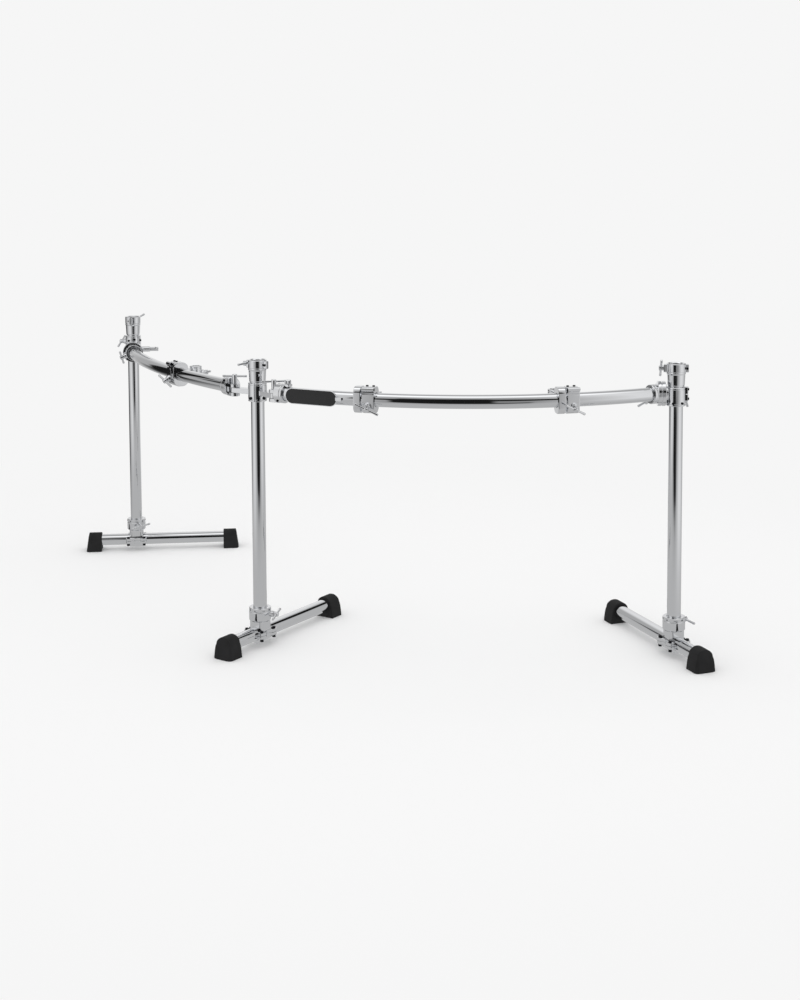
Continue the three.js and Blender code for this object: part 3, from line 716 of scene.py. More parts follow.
def shoe():
    """A rubber shoe with its outer end at x = 0: a dome over a flared foot, remeshed and relaxed."""
    middle = -SHOE_LENGTH / 2
    flare = narrowed(
        block((SHOE_LENGTH, SHOE_WIDTH, SHOE_SHOULDER), (middle, 0, SHOE_SHOULDER / 2), 0),
        SHOE_SHOULDER_WIDTH / SHOE_WIDTH, 1,
    )
    low = SHOE_SHOULDER - SHOE_OVERLAP
    neck = narrowed(
        block(
            (SHOE_LENGTH, SHOE_SHOULDER_WIDTH, SHOE_DOME_FOOT - low),
            (middle, 0, (SHOE_DOME_FOOT + low) / 2), 0,
        ),
        2 * SHOE_DOME_HALF / SHOE_SHOULDER_WIDTH, SHOE_DOME_FOOT - 1,
    )
    dome = added(
        bpy.ops.mesh.primitive_cylinder_add, vertices=96, radius=SHOE_DOME_HALF, depth=SHOE_LENGTH,
        location=(middle, 0, SHOE_DOME_FOOT), rotation=(0, math.pi / 2, 0),
        scale=((SHOE_HEIGHT - SHOE_DOME_FOOT) / SHOE_DOME_HALF, 1, 1),
    )
    body = union(flare, neck, dome)
    plan = block((2 * SHOE_LENGTH, SHOE_WIDTH, 2 * SHOE_HEIGHT), (-SHOE_LENGTH, 0, 0), 0, SHOE_CORNER)
    slope = Matrix.Identity(4)
    slope[0][2] = (SHOE_TOP_LENGTH - SHOE_LENGTH) / SHOE_HEIGHT
    combine("INTERSECT", body, [moved(plan, slope)])
    modify(body, "REMESH", mode="VOXEL", voxel_size=SHOE_VOXEL)
    modify(body, "SMOOTH", factor=0.5, iterations=14)
    bore = bore_radius()
    socket = lathe([(bore, -60), (bore, -SHOE_END_WALL - 1.5), (bore - 1.5, -SHOE_END_WALL)], 0, TUBE_SIDES)
    return coated(cut(body, moved(socket, FOOT_LAY)), "rubber")


def make_shoes():
    master = shoe()
    for leg, (foot_turn, _) in LEGS.items():
        for end, reach, turn in (("outer", FOOT_OUTER, 0), ("inner", -FOOT_INNER, 180)):
            place = post_place(leg, foot_turn) @ shift((reach, 0, 0)) @ rotated(turn)
            finished(another(master), f"{leg}_{end}_shoe", "moulding", place)
    discard(master)


def saddle_half(side):
    """The ring and the flange of a saddle's upper or lower half. The flange is waisted."""
    half = SADDLE_LENGTH / 2
    height = FOOT_AXIS + side * FLANGE_THICKNESS / 2
    plate = block((FLANGE, FLANGE, FLANGE_THICKNESS), (0, 0, height), 0, 8.0)
    for turn in range(0, 360, 90):
        waist = drum(22, height - 20, height + 20)
        cut(plate, moved(waist, rotated(turn) @ shift((49, 0, 0))))
    return moved(drum(SADDLE_RADIUS, -half, half, 2.0), FOOT_LAY), soften(plate, 1.2)


def saddle_cuts(side):
    """What is taken from a saddle's half: the other half's room, and the foot tube's bore."""
    room, gap = 60, SEAT_GAP / 2
    other = block((2 * room, 2 * room, room), (0, 0, FOOT_AXIS + side * (gap - room / 2)), 0)
    return other, moved(drum(bore_radius(), -room, room), FOOT_LAY)


def saddle_bolts(side, height):
    spread = SADDLE_BOLT_SPREAD
    top = FOOT_AXIS + side * FLANGE_THICKNESS
    return [
        socket_bolt((0, 0, side), (x * spread, y * spread, top), (SADDLE_BOLT_RADIUS, height))
        for x in (-1, 1) for y in (-1, 1)
    ]


def make_base(leg, foot_turn):
    """The saddle over a foot tube with its neck and the post's collar, and its lower half."""
    bore, outside, top = bore_radius(), BASE_COLLAR_RADIUS, BASE_COLLAR_TOP
    collar = lathe([
        (bore, NECK_TOP), (outside - 3, NECK_TOP), (outside, NECK_TOP + 3), *groove(outside, 96, 99),
        (outside, top - 1), (outside - RIM, top), (bore + 1.5, top), (bore, top - 1.5),
    ], 0.5, loop=True)
    neck = block((SADDLE_LENGTH, 46, 42), (0, 0, 53), 2.0, 9.0)
    screw = level(BASE_SCREW_TURN), (0, 0, BASE_SCREW_HEIGHT), BASE_BOSS_REACH
    body = union(neck, *saddle_half(1), collar, boss(*screw, 24))
    cut(body, *saddle_cuts(1), drum(bore, POST_SEAT, 120), hole(*screw))
    for turn in range(15, 375, 40):
        cut(body, moved(block((7, 7.5, 5), (outside, 0, 103), 0), rotated(turn)))
    place = post_place(leg, foot_turn)
    finish_casting(body, saddle_bolts(1, 4.2), f"{leg}_base_clamp", place)
    strap = cut(union(*saddle_half(-1)), *saddle_cuts(-1))
    finish_casting(strap, saddle_bolts(-1, 8.0), f"{leg}_base_strap", place)


def make_cup(leg, cup_turn):
    """The split cup on a post: a heavy band above a tapered skirt, with two ears."""
    bore, outside, foot, top = bore_radius(), CUP_RADIUS, CUP_FOOT_RADIUS, CUP_TOP
    low, band, middle = top - CUP_HEIGHT, top - CUP_BAND, top - CUP_BAND / 2
    bell = lathe([
        (bore, low), (foot, low), (foot, low + 3), (foot + 0.8, low + 4), (outside - 1.6, band - 3),
        (outside, band), *groove(outside, band + 2.5, band + 5.2), (outside, top - RIM),
        (outside - RIM, top), (bore + 2.6, top), (bore, top - 3),
    ], 0.5, loop=True)
    ears = [block((12.5, 13, 22), (side * 27.75, 0, middle), 1.6, 3.0, 0) for side in (-1, 1)]
    body = cut(
        union(bell, *ears), drum(bore, low - 5, top - 5), hole((1, 0, 0), (0, 0, middle), CUP_EAR + 5),
        block((20, mm("split_width"), CUP_BAND + 6), (-CUP_EAR, 0, middle + 1), 0),
    )
    bolt = socket_bolt((0, 1, 0), (-CUP_EAR - 0.5, 6.5, middle))
    finish_casting(body, [bolt], f"{leg}_cup", post_place(leg, cup_turn))


# Collars and sockets

def collar_ring(above):
    """A collar about a post, with a turned groove near each rim."""
    bore, outside, low = bore_radius(), COLLAR_RADIUS, -COLLAR_BELOW
    return lathe([
        (bore, low), (outside - RIM, low), (outside, low + RIM), *groove(outside, low + 4.4, low + 7),
        *groove(outside, above - 7, above - 4.4), (outside, above - RIM), (outside - RIM, above),
        (bore, above),
    ], 0.4, loop=True)


def collar_bolts(spots, size=SMALL_BOLT, reach=COLLAR_RADIUS):
    """Socket bolts round a collar, each at a turn and a height."""
    return [socket_bolt(level(turn), level(turn) * reach + Vector((0, 0, z)), size) for turn, z in spots]


def collar_pad(turn):
    """The round pad that faces the flange of a socket."""
    return moved(drum(20, BOSS_START, PAD_REACH, 1.0), aim(level(turn)))


def split(turn, low, high):
    """The saw cut that lets a collar close, at a turn about the post."""
    cutter = block((14, mm("split_width"), high - low + 4), (25, 0, (low + high) / 2), 0)
    return moved(cutter, rotated(turn))


def make_corner_collar():
    """The collar at the corner, with a tongue for each wing."""
    turns = (FRONT_PIN_TURN, SIDE_PIN_TURN)
    tongues = [moved(link(22, PIN_REACH, 24, -15, -1, 1.2), rotated(turn)) for turn in turns]
    screw = level(55), (0, 0, -23)
    body = union(collar_ring(COLLAR_ABOVE), *tongues, boss(*screw))
    cut(body, drum(bore_radius(), -40, 30), hole(*screw), split(-100, -COLLAR_BELOW, COLLAR_ABOVE))
    for turn in turns:
        cut(body, moved(screw_bore(-20, 5), rotated(turn) @ shift((PIN_REACH, 0, 0))))
    bolts = collar_bolts([(-40, -23), (-75, -23), (-125, -23)], (4.2, 3.4))
    bolts += collar_bolts([(-75, 9)], (3.2, 2.4))
    finish_casting(body, bolts, "corner_collar", post_place("centre", 0, BAR_HEIGHT))


def make_right_collar():
    """The collar of the right post, closed by two bolts through a lug."""
    lug = moved(block((11, 14, 40), (27.5, 0, 0), 1.4, 3.0, 0), rotated(LUG_TURN))
    screw = level(50), (0, 0, -8)
    body = union(collar_ring(COLLAR_ABOVE), collar_pad(RIGHT_PAD_TURN), lug, boss(*screw))
    saw = moved(block((12, 30, mm("split_width")), (LUG_REACH, 0, 0), 0), rotated(LUG_TURN))
    cut(body, drum(bore_radius(), -40, 30), hole(*screw), saw)
    bolts = collar_bolts([(LUG_TURN, -13), (LUG_TURN, 13)], reach=LUG_REACH)
    bolts += collar_bolts([(-55, -24), (-110, -24)])
    finish_casting(body, bolts, "right_collar", post_place("right", 0, BAR_HEIGHT))


def make_left_collar():
    """The tall collar of the left post, with a short and a long boss."""
    short = level(172), (0, 0, 31)
    long = level(8), (0, 0, 4), LONG_BOSS_REACH
    body = union(collar_ring(LEFT_COLLAR_ABOVE), collar_pad(LEFT_PAD_TURN), boss(*short), boss(*long))
    cut(body, drum(bore_radius(), -40, 60), hole(*short), hole(*long), split(-40, 8, 54))
    bolts = collar_bolts([(-66, 40), (-110, 36), (-14, 36), (-120, -24), (-30, -24)], (3.6, 2.8))
    finish_casting(body, bolts, "left_collar", post_place("left", 0, BAR_HEIGHT - WING_DROP))


def make_swivel_socket(name):
    """The socket at the centre post: a closed cup for the bar, between two fork plates."""
    line = Wing(name)
    bore, outside = bore_radius(SOCKET_FIT), tube_radius() + SOCKET_WALL
    shell = lathe([
        (outside - 8, -14), (outside - 1.5, -14), (outside, -12.5), *groove(outside, 5, 8),
        (outside, 12.6), (outside - RIM, 14), (bore + 1, 14), (bore, 13), (bore, -8), (bore - 6, -8),
    ], 0.4)
    body = moved(shell, line.along(SWIVEL_MIDDLE))
    heading = line.at(SWIVEL_MIDDLE).translation - line.pin
    toward = rotated(math.degrees(math.atan2(heading.y, heading.x)))
    pin = shift(line.pin)
    for low, high in ((-0.7, 9.3), (-25.3, -15.3)):
        union(body, moved(link(0, 18, 28, low, high, 1.2), pin @ toward))
    cut(body, moved(screw_bore(-40, 30), pin))
    if name == "front":
        seat = shift(line.at(KNOB_DISTANCE).translation)
        union(body, moved(block((17, 19, 8), (1, 0, 23.6), 1.0, 3.0), seat @ toward))
        cut(body, moved(screw_bore(15, 40), seat))
    middle = line.at(SWIVEL_MIDDLE - 2)
    bolts = []
    for side in (-1, 1):
        out = Vector((0, side, side * 0.9)).normalized()
        bolts.append(socket_bolt(middle.to_3x3() @ out, middle @ (out * outside)))
    finish_casting(body, bolts, f"{name}_socket")


def make_leg_socket(name, wing_name, pad_turn, lean):
    """The socket at an outer post: a sleeve for the bar's end on a broad round flange."""
    line = Wing(wing_name)
    bore, outside, half = bore_radius(SOCKET_FIT), tube_radius() + SOCKET_WALL, LEG_SOCKET_HALF
    shell = lathe([
        (outside - 8, half), (outside - RIM, half), (outside, half - 1.5), *groove(outside, -7, -10),
        (outside, 1.5 - half), (outside - RIM, -half), (bore + 1, -half), (bore, 1 - half), (bore, 9.5),
        (bore - 6, 9.5),
    ], 0.4)
    sleeve = line.along(line.length - half)
    body = moved(shell, sleeve)
    seat = aim(-level(pad_turn), line.at(line.length).translation)
    face = LEG_REACH - PAD_REACH - SEAT_GAP
    back, wide = face - LEG_FLANGE_LENGTH, LEG_FLANGE_RADIUS
    flange = lathe([
        (26, back), (wide - 1, back), (wide, back + 1.5), *groove(wide, face - 13, face - 9.6, 1.4),
        (wide, face - 1.2), (wide - 1, face), (26, face),
    ], 0.5)
    union(body, moved(flange, seat))
    middle = line.at(line.length - 20)
    screw = (middle.to_3x3() @ leaning(lean)).normalized(), middle.translation
    cut(union(body, boss(*screw)), moved(drum(bore, -40, 9.5), sleeve), hole(*screw))
    bolts = [
        socket_bolt(level(pad_turn), seat @ (level(turn) * 28 + Vector((0, 0, back))))
        for turn in range(45, 405, 90)
    ]
    finish_casting(body, bolts, f"{name}_socket")


# Multi clamps

def clamp_body(thickness):
    """A rounded plate about a bar that runs along X."""
    return block((thickness, 48, 72), (0, 0, 0), 1.6, 18.8, 0)


def clamp_bore():
    return moved(drum(bore_radius(CLAMP_FIT), -30, 30), LAID)


def make_clamp_block(name):
    """A multi clamp's block: a rounded body about the bar, hinged at a barrel along its top."""
    wing_name, distance = MULTI_CLAMPS[name]
    line = Wing(wing_name)
    side = line.bulge
    barrel = moved(drum(6, -CLAMP_HALF, CLAMP_HALF, 0.8, 32), shift((0, side * 21, 30)) @ LAID)
    direction = leaning(-30, side)
    body = union(clamp_body(2 * CLAMP_HALF), barrel, boss(direction))
    lip = shift((0, side * 23.4, 16)) @ rotated(90 * (side - 1)) @ rotated(13, "X")
    cut(
        body, clamp_bore(), hole(direction), block((40, 14, 2.6), (0, side * 25, 20.5), 0),
        block((40, 14, 2.6), (0, -side * 25, -14), 0), moved(block((40, 8, 7), (0, 4, 0), 0), lip),
    )
    bolts = [socket_bolt((x, 0, 0), (x * CLAMP_HALF, side * 21, 30), (3.6, 1.0)) for x in (-1, 1)]
    bolts += [socket_bolt((0, 0, 1), (x * 9, 2, 36), (3.6, 2.4)) for x in (-1, 1)]
    finish_casting(body, bolts, f"{name}_block", line.at(distance))


def make_receiver(name):
    """A multi clamp's receiver: a plate about the bar, an arm and a sleeve for an upright rod."""
    wing_name, distance = MULTI_CLAMPS[name]
    line = Wing(wing_name)
    away = -line.bulge
    bore, outside, half = RECEIVER_BORE, RECEIVER_RADIUS, RECEIVER_HALF
    origin = (0, away * RECEIVER_OFFSET, 0)
    ring = lathe([
        (bore, -half), (outside - RIM, -half), (outside, RIM - half), *groove(outside, -17, -14.4, 0.8),
        *groove(outside, 14.4, 17, 0.8), (outside, half - RIM), (outside - RIM, half), (bore + 1, half),
        (bore, half - 1),
    ], 0.4, loop=True)
    arm = block((16, 30, 30), (0, away * 37, 0), 1.6, 4.0, 1)
    screw = (0, away, 0), origin, RECEIVER_BOSS_REACH
    body = union(clamp_body(20), arm, moved(ring, shift(origin)), boss(*screw, 14))
    cut(body, clamp_bore(), moved(drum(bore, -30, 30), shift(origin)), hole(*screw))
    bolts = [
        socket_bolt((x, 0, 0), (x * 8, away * 31, z), (3.2, 2.2)) for x in (-1, 1) for z in (-9, 9)
    ]
    finish_casting(body, bolts, f"{name}_receiver", line.at(distance - RECEIVER_SPACING))


# Bars, badge and screws

def make_bar(name):
    """A curved bar: the tube's circle, spun about the middle of the bar's curve."""
    line = Wing(name)
    run = line.length - BAR_FAR_MARGIN - BAR_NEAR_MARGIN
    ring = added(
        bpy.ops.mesh.primitive_circle_add, vertices=TUBE_SIDES, radius=tube_radius(),
        rotation=(0, math.pi / 2, 0),
    )
    moved(ring, line.flat(BAR_NEAR_MARGIN))
    only(ring)
    mode("EDIT")
    bpy.ops.mesh.select_all(action="SELECT")
    bpy.ops.mesh.spin(
        steps=bpy.context.scene.rack_sizes.bar_steps, angle=line.bulge * run / line.radius,
        center=(BAR_CHORD / 2, -line.bulge * line.rise, 0), axis=(0, 0, 1),
    )
    face_outwards()
    modify(ring, "SOLIDIFY", thickness=mm("tube_wall"), offset=-1)
    finished(coated(ring, "tube"), f"{name}_bar", "tubing", line.place @ line.tilt)


def make_badge():
    """The name plate, bare: black enamel in a bright rim, with its clip at one end."""
    back, front = tube_radius() + SEAT_GAP, tube_radius() + 3.2
    inside = BADGE_HEIGHT - 2 * mm("badge_rim")

    def plate(width, low, high, edge):
        return link(-BADGE_HALF, BADGE_HALF, width, low, high, edge, BADGE_SIDES)

    body = cut(plate(BADGE_HEIGHT, back, front, 0.35), plate(inside, front - 0.5, front + 1, 0))
    clip = block((18, 10, 5), (83, 0, front - 2.6), 0.6, 1.5)
    body = coated(union(body, clip), "screw")
    enamel = coated(plate(inside - 0.1, front - 0.9, front - 0.25, 0.15), "enamel")
    place = Wing("front").at(BADGE_DISTANCE) @ rotated(90, "X")
    finished(together(body, enamel), "badge", "plate", place)


def wing_screw(shank, hub):
    """A wing screw along +Z on its seat: a threaded shank, a hub and a cross rod for a handle."""
    height = THREAD_LEAD - shank
    profile = [(3.0, -shank), (3.9, height)]
    while height < -2 * THREAD_PITCH:
        profile += [(3.4, height + THREAD_PITCH / 2), (3.95, height + THREAD_PITCH)]
        height += THREAD_PITCH
    profile += [
        (3.6, -0.6), (3.6, 0), (6.2, 0), (HUB_RADIUS, 0.8), *groove(HUB_RADIUS, 3.2, 5.2, 0.7),
        (HUB_RADIUS, hub - 1.8), (5.9, hub - 0.5), (4.2, hub),
    ]
    end = [(1.2, 35), (2.7, 34.6), (3.5, 33), (3.5, 27.5), (3.1, 26)]
    handle = lathe([(radius, -z) for radius, z in end] + end[::-1], 0.7, ROD_SIDES)
    moved(handle, shift((0, 0, hub - 6)) @ LAID)
    return coated(union(lathe(profile, 0.0, ROD_SIDES), handle), "screw")


def screw_place(node, hub):
    """The seat of a wing screw, with X along its handle, and the length of its shank."""
    joint = JOINT_OF[node]
    axis, origin = Vector(joint["axis"]).normalized(), Vector(joint["pos_m"])
    rows = []
    for vertex in frame["nodes"][node].data.vertices:
        along = (vertex.co - origin).dot(axis)
        rows.append((along, vertex.co - origin - axis * along))
    low, high = min(a for a, _ in rows) / MM, max(a for a, _ in rows) / MM
    reach = max(across.length for _, across in rows)
    tips = [(a, across) for a, across in rows if across.length > 0.9 * reach]
    first = tips[0][1]
    across = Vector()
    for _, tip in tips:
        across += tip if tip.dot(first) > 0 else -tip
    if sum(a for a, _ in tips) / len(tips) / MM < (low + high) / 2:
        axis, low, high = -axis, -high, -low
    across.normalize()
    turn = Matrix((across, axis.cross(across), axis)).transposed().to_4x4()
    return shift(origin / MM + axis * (high - hub)) @ turn, high - low - hub


def make_wing_screws():
    masters = {}
    for node in frame["nodes"]:
        if node.endswith("_screw"):
            hub = TALL_HUB if node in TALL_SCREWS else SHORT_HUB
            place, shank = screw_place(node, hub)
            kind = (round(shank, 1), hub)
            if kind not in masters:
                masters[kind] = wing_screw(*kind)
            finished(another(masters[kind]), node, "forging", place)
    for master in masters.values():
        discard(master)


def make_knob():
    """The knurled knob on the front socket."""
    low, high = (corner.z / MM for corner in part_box("front_socket_knob"))
    piece = lathe([
        (3.2, low), (4, low + 0.8), (4, high - 11), (7.6, high - 11), (9.2, high - 9.6),
        (9.2, high - 1.6), (7.8, high), (3, high), (2.6, high - 0.6),
    ], 0.3, 2 * KNURLS)

    def in_a_knurl(vertex):
        spot = vertex.co
        odd = round(math.atan2(spot.y, spot.x) / (math.pi / KNURLS)) % 2
        return bool(odd and high - 10 < spot.z < high - 1.4 and spot.xy.length > 8)

    select_in_edit_mode("VERT", piece.data.vertices, in_a_knurl)
    bpy.ops.transform.resize(value=(0.93, 0.93, 1), center_override=(0, 0, high))
    mode("OBJECT")
    x, y, _ = JOINT_OF["front_socket_knob"]["pos_m"]
    place = shift((x / MM, y / MM, 0))
    finished(coated(piece, "screw"), "front_socket_knob", "turning", place)


# Operators for the pieces

class RACK_OT_tubes(bpy.types.Operator):
    """Model the posts, the foot tubes and the two curved bars"""
    bl_idname = "rack.tubes"
    bl_label = "Tubes"

    def execute(self, context):
        for leg, (foot_turn, _) in LEGS.items():
            make_leg_tubes(leg, foot_turn)
        make_bar("front")
        make_bar("side")
        return {"FINISHED"}


class RACK_OT_shoes(bpy.types.Operator):
    """Model the six rubber shoes"""
    bl_idname = "rack.shoes"
    bl_label = "Rubber shoes"

    def execute(self, context):
        make_shoes()
        return {"FINISHED"}


class RACK_OT_bases(bpy.types.Operator):
    """Model the saddle clamps that join the posts to their feet"""
    bl_idname = "rack.bases"
    bl_label = "Base clamps"

    def execute(self, context):
        for leg, (foot_turn, _) in LEGS.items():
            make_base(leg, foot_turn)
        return {"FINISHED"}


class RACK_OT_cups(bpy.types.Operator):
    """Model the split cups on the post tops"""
    bl_idname = "rack.cups"
    bl_label = "Cups"

    def execute(self, context):
        for leg, (_, cup_turn) in LEGS.items():
            make_cup(leg, cup_turn)
        return {"FINISHED"}


class RACK_OT_collars(bpy.types.Operator):
    """Model the collars that carry the bars on the posts"""
    bl_idname = "rack.collars"
    bl_label = "Collars"

    def execute(self, context):
        make_corner_collar()
        make_right_collar()
        make_left_collar()
        return {"FINISHED"}


class RACK_OT_sockets(bpy.types.Operator):
    """Model the sockets that hold the ends of the bars"""
    bl_idname = "rack.sockets"
    bl_label = "Sockets"

    def execute(self, context):
        make_swivel_socket("front")
        make_swivel_socket("side")
        make_leg_socket("right", "front", RIGHT_PAD_TURN, -37)
        make_leg_socket("left", "side", LEFT_PAD_TURN, -20)
        return {"FINISHED"}


class RACK_OT_multi_clamps(bpy.types.Operator):
    """Model the three multi clamps on the bars"""
    bl_idname = "rack.multi_clamps"
    bl_label = "Multi clamps"

    def execute(self, context):
        for name in MULTI_CLAMPS:
            make_clamp_block(name)
            make_receiver(name)
        return {"FINISHED"}


class RACK_OT_screws(bpy.types.Operator):
    """Model the wing screws and the knurled knob"""
    bl_idname = "rack.screws"
    bl_label = "Wing screws"

    def execute(self, context):
        make_wing_screws()
        make_knob()
        return {"FINISHED"}


class RACK_OT_badge(bpy.types.Operator):
    """Model the bare name plate on the front bar"""
    bl_idname = "rack.badge"
    bl_label = "Name plate"

    def execute(self, context):
        make_badge()
        return {"FINISHED"}


# Studio

CAMERA_FROM_POST = Vector((0.8016, -4.4111, 1.4569))
CAMERA_TURN = 0.0907
CAMERA_PITCH = 0.08
CAMERA_ROLL = 0.0043
CAMERA_LENS = 58.195
CAMERA_SHIFT = -0.2445
FACING = Matrix.Rotation(CAMERA_TURN, 4, "Z")

# The lamp, the strength of the air, and where the paper floor fades into the background.
LAMP_SPOT = Vector((0.0, -0.6, 4.2))
LAMP_SIZE = (5.0, 4.0)
LAMP_POWER = 27.0
AIR_STRENGTH = 0.92
PAPER_FADE = (1.5, 2.6)

# The room that only the chrome reflects, as brightness by the turn in degrees to the right of the
# camera's view: pale at the sides and behind, with a dark gap behind on the left of the floor.
ROOM_RADIUS = 6.0
CEILING_HEIGHT = 3.4
AROUND = (
    (-180, 0.25), (-160, 0.3), (-148, 0.5), (-125, 0.85), (-104, 0.75), (-82, 0.48), (-66, 0.2),
    (-57, 0.04), (-44, 0.04), (-35, 0.45), (-20, 0.75), (0, 0.9), (25, 0.75), (48, 0.36), (80, 0.55),
    (104, 0.8), (125, 0.85), (148, 0.5), (160, 0.3), (180, 0.25),
)
ABOVE = tuple((turn, max(grey, 0.45) if -70 < turn < 0 else grey) for turn, grey in AROUND)

# Brightness by metres towards the camera's view, on the floor and on the ceiling.
NEAR_FLOOR = ((-6, 0.52), (6, 0.52))
OVERHEAD = (
    (-6, 0.012), (-3.4, 0.015), (-2.4, 0.5), (-1.4, 0.8), (-0.75, 1.4), (-0.2, 1.2), (0.3, 0.6),
    (0.8, 0.38), (3, 0.5), (6, 0.55),
)

# Black flags about the rack, and one painted shadow that lies on the floor: name, width, height, middle, turn
# about Z, tilt about X, soft edge and brightness.
FLAGS = (
    ("standing_flag", 1.45, 2.5, (-0.1, -2.3, 1.2), 0, 90, 0.13, 0.012),
    ("low_flag", 0.8, 0.5, (0.7, -2.31, 0.2), 0, 90, 0.12, 0.05),
    ("strip_flag", 3.2, 0.95, (0.0, -2.32, 1.6), 0, 90, 0.1, 0.012),
    # Painted shadow: a dark sheet on the floor, seen only in reflections, in place of the standing flag's shadow
    # on the paper.
    ("floor_flag", 1.95, 1.6, (0.15, -2.5, 0.004), 0, 0, 0.75, 0.012),
    ("right_flag", 1.4, 1.5, (2.33, 1.36, 2.08), -57, 90, 0.15, 0.012),
    ("left_flag", 0.6, 1.5, (-1.82, 1.215, 0.95), 49, 90, 0.12, 0.012),
    ("far_left_flag", 0.7, 0.8, (-1.9, 0.5, 1.3), 63, 90, 0.2, 0.05),
)


def calculate(tree, operation, *values):
    """The result of a sum on sockets."""
    return add_node(tree, "ShaderNodeMath", dict(enumerate(values)), operation=operation).outputs[0]


def distance_of(tree, spot):
    return add_node(tree, "ShaderNodeVectorMath", {0: spot}, operation="LENGTH").outputs["Value"]


def fading(tree, value, start, end, first=0.0, last=1.0):
    """A smooth run from a first to a last value, while an input goes from its start to its end."""
    return add_node(tree, "ShaderNodeMapRange", {
        "Value": value, "From Min": start, "From Max": end, "To Min": first, "To Max": last,
    }, interpolation_type="SMOOTHSTEP").outputs["Result"]


def parts_of(tree, spot):
    return add_node(tree, "ShaderNodeSeparateXYZ", {"Vector": spot}).outputs


def mixed(tree, share, first, second):
    inputs = {0: share, 1: first.outputs[0], 2: second.outputs[0]}
    return add_node(tree, "ShaderNodeMixShader", inputs)


def add_camera():
    post = middle_of("centre_post") * MM
    post.z = 0
    pitch = Matrix.Rotation(math.pi / 2 - CAMERA_PITCH, 4, "X")
    turn = FACING @ pitch @ Matrix.Rotation(-CAMERA_ROLL, 4, "Z")
    bpy.ops.object.camera_add(location=post + CAMERA_FROM_POST, rotation=turn.to_euler())
    camera = bpy.context.object
    camera.data.lens = CAMERA_LENS
    camera.data.sensor_width = 36
    camera.data.shift_y = CAMERA_SHIFT
    camera.data.clip_end = 100
    bpy.context.scene.camera = camera


def light_world():
    """Plain white studio air: the paper's colour where it is seen or reflected."""
    world = bpy.data.worlds.new("Studio_air")
    bpy.context.scene.world = world
    world.use_nodes = True
    tree = world.node_tree
    tree.nodes.clear()
    background = colour_of("background")
    paper = add_node(tree, "ShaderNodeBackground", {"Color": background, "Strength": 1.0})
    air = add_node(tree, "ShaderNodeBackground", {"Color": (1, 1, 1, 1), "Strength": AIR_STRENGTH})
    path = add_node(tree, "ShaderNodeLightPath").outputs
    seen = calculate(tree, "MAXIMUM", path["Is Camera Ray"], path["Is Glossy Ray"])
    clear = calculate(tree, "MAXIMUM", seen, path["Is Transmission Ray"])
    show(tree, mixed(tree, clear, air, paper), "World")


def brightness_ramp(tree, value, stops):
    """A grey that follows a value through a list of stops."""
    low, high = stops[0][0], stops[-1][0]
    share = add_node(tree, "ShaderNodeMapRange", {"Value": value, "From Min": low, "From Max": high})
    ramp = add_node(tree, "ShaderNodeValToRGB", {"Fac": share.outputs["Result"]})
    elements = ramp.color_ramp.elements
    for i, (at, grey) in enumerate(stops):
        place = (at - low) / (high - low)
        element = elements[0] if i == 0 else elements[-1] if i == len(stops) - 1 else elements.new(place)
        element.position = place
        element.color = (grey, grey, grey, 1)
    return ramp.outputs["Color"]


def room_finish(name, centre, around, start, end):
    """A glow that runs from one set of stops at the middle of the room to another at its walls."""
    made, tree = new_finish(name)
    x, y, _ = parts_of(tree, object_spot(tree))
    degrees = calculate(tree, "DEGREES", calculate(tree, "ARCTAN2", x, y))
    flat = add_node(tree, "ShaderNodeCombineXYZ", {0: x, 1: y}).outputs[0]
    grey = add_node(tree, "ShaderNodeMixRGB", {
        "Fac": fading(tree, distance_of(tree, flat), start, end),
        "Color1": brightness_ramp(tree, y, centre), "Color2": brightness_ramp(tree, degrees, around),
    })
    show(tree, add_node(tree, "ShaderNodeEmission", {"Color": grey.outputs[0], "Strength": 1.0}))
    return made


def only_reflected(surface, name, finish):
    """Hides a surface of the studio from everything but reflections."""
    surface.name = name
    surface.data.materials.append(finish)
    surface.visible_camera = surface.visible_diffuse = surface.visible_shadow = False
    surface.visible_transmission = False


def add_room():
    """The floor, ceiling and wall that only reflections see, turned to face the camera."""
    plane = bpy.ops.mesh.primitive_plane_add, {"size": 2 * ROOM_RADIUS}
    cylinder = bpy.ops.mesh.primitive_cylinder_add, {
        "vertices": 96, "radius": ROOM_RADIUS, "depth": CEILING_HEIGHT, "end_fill_type": "NOTHING",
    }
    surfaces = (
        ("room_floor", plane, 0.002, NEAR_FLOOR, AROUND, 1.0, 3.0),
        ("room_ceiling", plane, CEILING_HEIGHT, OVERHEAD, ABOVE, 1.4, 3.2),
        ("room_wall", cylinder, CEILING_HEIGHT / 2, NEAR_FLOOR, ABOVE, 0.0, 1.0),
    )
    for name, (operator, settings), height, *glow in surfaces:
        bpy.ops.object.select_all(action="DESELECT")
        operator(location=(0, 0, height), rotation=(0, 0, CAMERA_TURN), **settings)
        only_reflected(bpy.context.object, name, room_finish(name.title(), *glow))


def card_share(tree, width, height, soft):
    """A factor that is 1 over a card and falls to 0 at its edges."""
    spot = parts_of(tree, object_spot(tree))
    shares = [
        fading(tree, calculate(tree, "ABSOLUTE", value), size / 2 - soft, size / 2, 1.0, 0.0)
        for value, size in zip(spot, (width, height))
    ]
    return calculate(tree, "MULTIPLY", *shares)


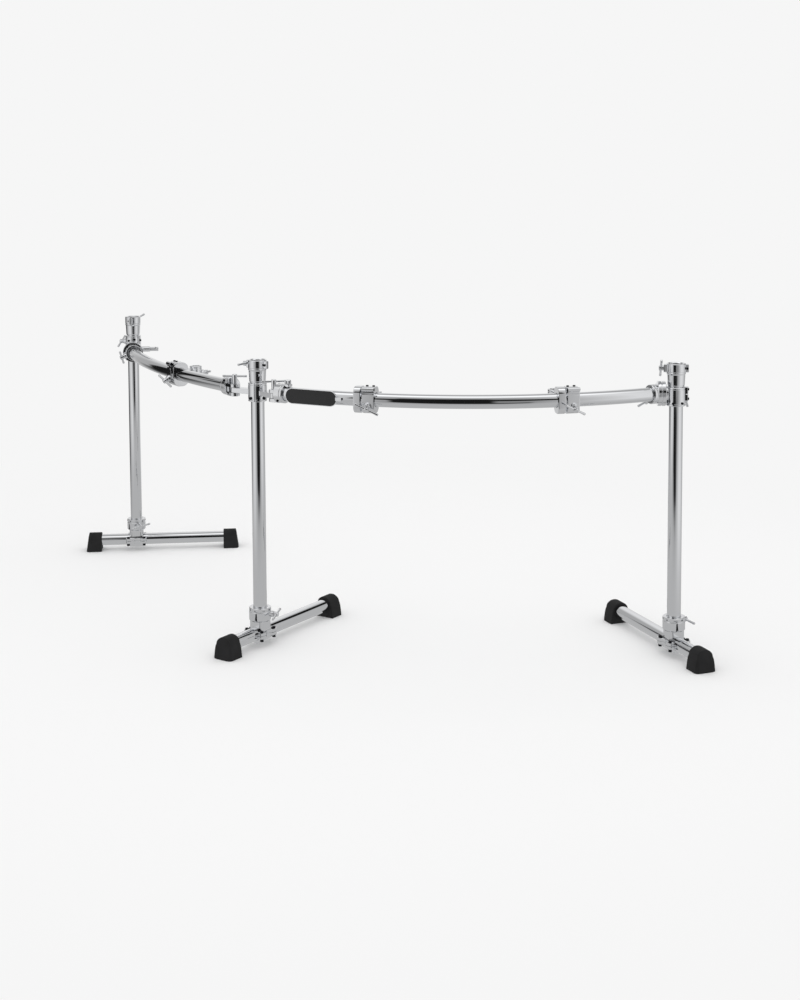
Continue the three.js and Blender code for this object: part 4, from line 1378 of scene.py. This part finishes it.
def add_flags():
    """Soft-edged black cloths about the rack, which give the tubes their dark cores. The one on the floor is
    painted shadow: a dark sheet that only the chrome sees, standing for the standing flag's shadow on the paper.
    """
    for name, width, height, spot, turn, tilt, soft, grey in FLAGS:
        place = FACING @ shift(spot) @ rotated(turn) @ rotated(tilt, "X")
        bpy.ops.object.select_all(action="DESELECT")
        bpy.ops.mesh.primitive_plane_add(size=1, location=place.translation, rotation=place.to_euler())
        flag = bpy.context.object
        flag.data.transform(Matrix.Diagonal((width, height, 1, 1)))
        made, tree = new_finish(f"Black_cloth_{name}")
        glow = add_node(tree, "ShaderNodeEmission", {"Color": (grey, grey, grey, 1)})
        clear = add_node(tree, "ShaderNodeBsdfTransparent")
        show(tree, mixed(tree, card_share(tree, width, height, soft), clear, glow))
        only_reflected(flag, name, made)


def add_floor():
    """A pale paper floor that takes the shadows and runs out into the background's colour."""
    bpy.ops.mesh.primitive_plane_add(size=40)
    floor = bpy.context.object
    floor.name = "paper_floor"
    made, tree = new_finish("Seamless_paper")
    background = colour_of("background")
    share = fading(tree, distance_of(tree, object_spot(tree)), *PAPER_FADE)
    paper = add_node(tree, "ShaderNodeBsdfDiffuse", {"Color": background})
    glow = add_node(tree, "ShaderNodeEmission", {"Color": background, "Strength": 1.0})
    show(tree, mixed(tree, share, paper, glow))
    floor.data.materials.append(made)


def add_softbox():
    """A broad rectangular lamp over the rack, which looks at its middle."""
    turn = (Vector() - LAMP_SPOT).to_track_quat("-Z", "Y")
    place = FACING @ shift(LAMP_SPOT) @ turn.to_matrix().to_4x4()
    bpy.ops.object.light_add(type="AREA", location=place.translation, rotation=place.to_euler())
    lamp = bpy.context.object
    lamp.name = "overhead_softbox"
    lamp.data.shape = "RECTANGLE"
    lamp.data.size, lamp.data.size_y = LAMP_SIZE
    lamp.data.energy = LAMP_POWER
    lamp.visible_glossy = False


class RACK_OT_studio(bpy.types.Operator):
    """Set up the camera, the paper floor, the lamp and the room that the chrome reflects"""
    bl_idname = "rack.studio"
    bl_label = "Studio"

    def execute(self, context):
        context.scene.view_settings.view_transform = "Standard"
        add_camera()
        light_world()
        add_floor()
        add_room()
        add_flags()
        add_softbox()
        return {"FINISHED"}


STEPS = (
    "tubes", "shoes", "bases", "cups", "collars", "sockets", "multi_clamps", "screws", "badge", "studio",
)


class RACK_PT_panel(bpy.types.Panel):
    """The rack's sizes, finishes and steps"""
    bl_idname = "RACK_PT_panel"
    bl_label = "Drum rack"
    bl_space_type = "VIEW_3D"
    bl_region_type = "UI"
    bl_category = "Drum rack"

    def draw(self, context):
        for group in (context.scene.rack_sizes, context.scene.rack_finishes):
            for name in group.__annotations__:
                self.layout.prop(group, name)
        for step in STEPS:
            self.layout.operator(f"rack.{step}")


CLASSES = (
    RackSizes, RackFinishes, RACK_OT_tubes, RACK_OT_shoes, RACK_OT_bases, RACK_OT_cups, RACK_OT_collars,
    RACK_OT_sockets, RACK_OT_multi_clamps, RACK_OT_screws, RACK_OT_badge, RACK_OT_studio, RACK_PT_panel,
)


def register():
    for cls in CLASSES:
        bpy.utils.register_class(cls)
    bpy.types.Scene.rack_sizes = bpy.props.PointerProperty(type=RackSizes)
    bpy.types.Scene.rack_finishes = bpy.props.PointerProperty(type=RackFinishes)


def unregister():
    del bpy.types.Scene.rack_sizes
    del bpy.types.Scene.rack_finishes
    for cls in reversed(CLASSES):
        bpy.utils.unregister_class(cls)


def main():
    register()
    for step in STEPS:
        getattr(bpy.ops.rack, step)()


if __name__ == "__main__":
    main()
